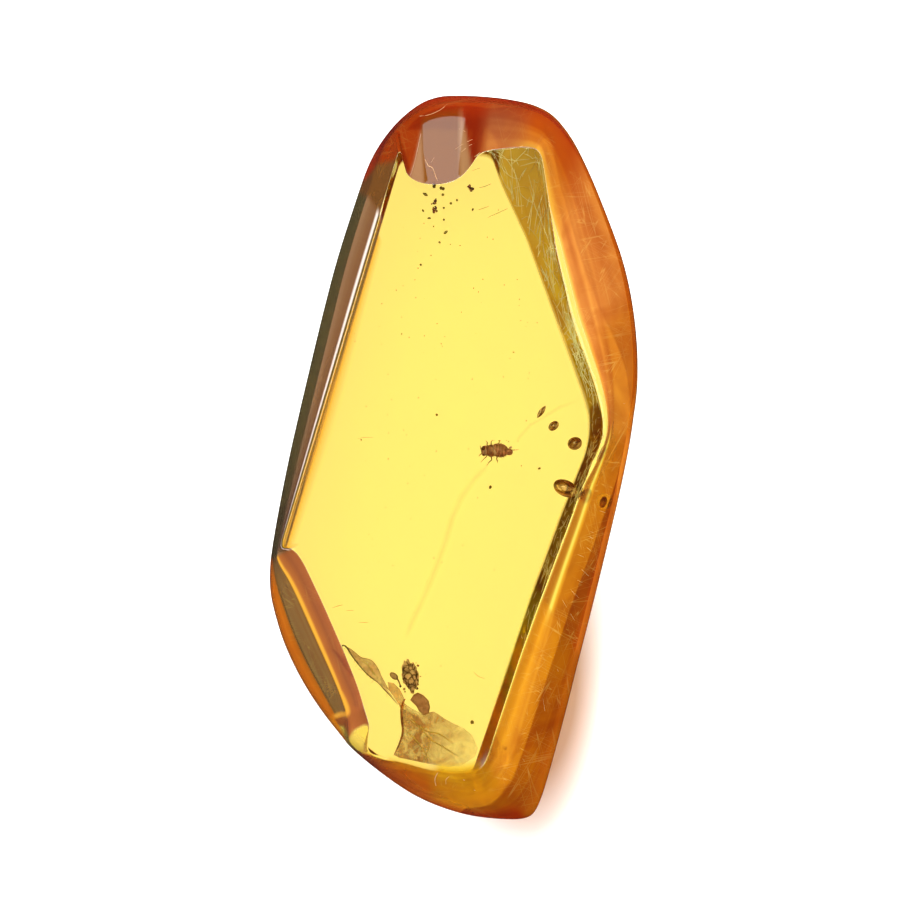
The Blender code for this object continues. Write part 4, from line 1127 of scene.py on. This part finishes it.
def scratchAndGlintParts():
    rng = random.Random(17)
    parts = []
    for turn, up, count, lengths, widest, tone in scratchZones:
        runs = []
        for _ in range(count):
            degrees, height = rng.uniform(*turn), rng.uniform(*up)
            start = skinPoint(degrees, height, scratchRun["sink"])
            perMm = scratchRun["degreesPerRadian"] / math.hypot(start.x, start.y)
            heading, bend = rng.uniform(0, fullTurn), rng.gauss(0, scratchRun["bend"])
            length = lengths[0] + (lengths[1] - lengths[0]) * rng.random() ** scratchRun["shortness"]
            steps = max(3, int(length / scratchRun["step"]))
            run = []
            for step in range(steps + 1):
                share = step / steps
                if not up[0] <= height <= up[1]:
                    break
                radius = widest * (0.3 + 0.7 * math.sin(math.pi * min(max(share, 0.05), 0.95)))
                run.append((*skinPoint(degrees, height, scratchRun["sink"]), radius))
                degrees += math.cos(heading) * length / steps * perMm
                height += math.sin(heading) * length / steps * scratchRun["rise"]
                heading += bend / steps * 2
            if len(run) > 2:
                runs.append(run)
        parts.append((strands(runs, 0), tone))
    # a bright strand painted as the highlight along the scoop's left edge
    rim = [(*skinPoint(99.6 - 4.9 * (5 - height), height, 0.01), 0.02) for height in np.linspace(4.25, 4.9, 12)]
    parts.append((strands([rim], 0), (1.0, 0.7, 0.5, 0.9)))
    tones = {"bright": (1.0, 0.6, 0.3, 1.0), "dull": (0.45, 0.3, 0.03, 0.7)}
    for kind, lines in singleScratches.items():
        runs = []
        for line in lines:
            run = smoothRun([(x, y, 0) for x, y, _ in line], [radius for _, _, radius in line], 4)
            runs.append([(x, y, min(skinLevel(x, y), scratchRun["highest"]), radius) for x, y, _, radius in run])
        parts.append((strands(runs, 0), tones[kind]))
    return parts


scratches = joinParts("fine_scratches_and_glint", scratchAndGlintParts(), tonedMaterial("scratch_and_glint", 0.35, 4000.0, 0.0, cover=True))
print("fine_scratches_and_glint", len(scratches.data.polygons), "faces")

# floor, light and camera
stageSet = {
    "floorSize": 0.6, "floorDrop": 0.00003,
    "floorColour": (0.85, 0.85, 0.85, 1), "floorGlow": (1.0, 1.0, 1.0, 1),
    "nearColour": (0.75, 0.5, 0.36, 1), "nearGlow": (0.1, 0.02, 0.0, 1),  # painted warm shadow and glow beside the amber's lower right, standing for its shadow and the light it lets through
    "near": (0.0037, -0.0108, 0.0), "nearShape": (1.0, 0.45, 1.0), "nearReach": 0.0024, "farReach": 0.0052,
    "tableColour": (0.3, 0.3, 0.3, 1), "tableGlow": (1.0, 1.0, 1.0, 1),  # seen through the amber
    "lens": 300.0, "sensor": 36.0, "pixel": 0.04945 * mm, "frame": 900, "axis": (454.5, 458.0),
    "skyStrength": 1.0,
    "sky": [(0.0, 0.02), (0.5, 0.05), (0.75, 0.07), (1.0, 0.06)],
}


def buildFloor():
    shape = bmesh.new()
    bmesh.ops.create_grid(shape, x_segments=1, y_segments=1, size=stageSet["floorSize"])
    bmesh.ops.translate(shape, vec=(0, 0, -stageSet["floorDrop"]), verts=shape.verts)
    made, tree, shader = newMaterial("floor")
    shader.inputs["Roughness"].default_value = 0.8
    through = tree.nodes.new("ShaderNodeLightPath").outputs["Is Transmission Ray"]
    reach = tree.nodes.new("ShaderNodeVectorMath")
    reach.operation = "DISTANCE"
    reach.inputs[1].default_value = [a * b for a, b in zip(stageSet["near"], stageSet["nearShape"])]
    place = tree.nodes.new("ShaderNodeTexCoord").outputs["Object"]
    tree.links.new(turned(tree, place, 0, stageSet["nearShape"]), reach.inputs[0])
    # the darker warm colour and faint warm glow near the amber's lower right are a painted shadow and glow
    far = mapped(tree, reach.outputs["Value"], stageSet["nearReach"], stageSet["farReach"])
    for part, socket in (("Colour", "Base Color"), ("Glow", "Emission Color")):
        bare = mixColour(tree, far, stageSet["near" + part], stageSet["floor" + part])
        tree.links.new(mixColour(tree, through, bare, stageSet["table" + part]), shader.inputs[socket])
    shader.inputs["Emission Strength"].default_value = 1.0
    floor = finishPiece("floor", shape, [made])
    floor.visible_glossy = False


softBoxes = {  # where each stands as (bearing, elevation) in degrees, its distance, size and brightness
    "backBox": {"bearing": 90, "elevation": 40, "away": 0.6, "size": (0.85, 0.22), "radiance": 3.0},
    "keyBox": {"bearing": 129, "elevation": 64, "away": 0.6, "size": (0.4, 0.3), "radiance": 6.5},
    "fillBox": {"bearing": 10, "elevation": 40, "away": 0.6, "size": (0.5, 0.22), "radiance": 4.0},
    "topBox": {"bearing": 0, "elevation": 90, "away": 0.6, "size": (0.9, 0.9), "radiance": 1.0, "soft": True},
}


def buildLights():
    for name, box in softBoxes.items():
        wide, tall = box["size"]
        lamp = bpy.data.lights.new(name, "AREA")
        lamp.shape = "RECTANGLE"
        lamp.size, lamp.size_y = wide, tall
        lamp.energy = box["radiance"] * math.pi * wide * tall
        bearing, elevation = math.radians(box["bearing"]), math.radians(box["elevation"])
        flat = math.cos(elevation)
        place = Vector((flat * math.cos(bearing), flat * math.sin(bearing), math.sin(elevation)))
        made = bpy.data.objects.new(name, lamp)
        made.location = place * box["away"]
        made.rotation_euler = place.to_track_quat("Z", "Y").to_euler()
        made.visible_glossy = not box.get("soft")  # a soft one fills the shadows without a reflection of its own
        scene.collection.objects.link(made)


def buildSky():
    world = bpy.data.worlds.new("studio")
    scene.world = world
    world.use_nodes = True
    tree = world.node_tree
    light = tree.nodes["Background"]
    place = tree.nodes.new("ShaderNodeTexCoord")
    split = tree.nodes.new("ShaderNodeSeparateXYZ")
    ramp = tree.nodes.new("ShaderNodeValToRGB")
    tree.links.new(place.outputs["Generated"], split.inputs[0])
    tree.links.new(mapped(tree, split.outputs["Z"], -1.0, 1.0), ramp.inputs[0])
    tree.links.new(ramp.outputs[0], light.inputs["Color"])
    stops = ramp.color_ramp.elements
    stops[0].position, stops[0].color = stageSet["sky"][0][0], (stageSet["sky"][0][1],) * 3 + (1,)
    stops.remove(stops[1])
    for position, value in stageSet["sky"][1:]:
        stop = stops.new(position)
        stop.color = (value,) * 3 + (1,)
    light.inputs["Strength"].default_value = stageSet["skyStrength"]


def placeCamera():
    camera = bpy.data.objects.new("camera", bpy.data.cameras.new("camera"))
    camera.data.lens = stageSet["lens"]
    camera.data.sensor_width = stageSet["sensor"]
    camera.data.clip_start = 0.005
    middle = stageSet["frame"] / 2
    across = stageSet["frame"] * stageSet["pixel"]
    girdleLevel = 4.0 * mm
    camera.location = (
        (middle - stageSet["axis"][0]) * stageSet["pixel"],
        (stageSet["axis"][1] - middle) * stageSet["pixel"],
        across * stageSet["lens"] / stageSet["sensor"] + girdleLevel,
    )
    scene.collection.objects.link(camera)
    scene.camera = camera


buildFloor()
buildSky()
buildLights()
placeCamera()
scene.view_settings.view_transform = "Standard"
scene.cycles.max_bounces = 32
scene.cycles.glossy_bounces = 24
scene.cycles.transmission_bounces = 32
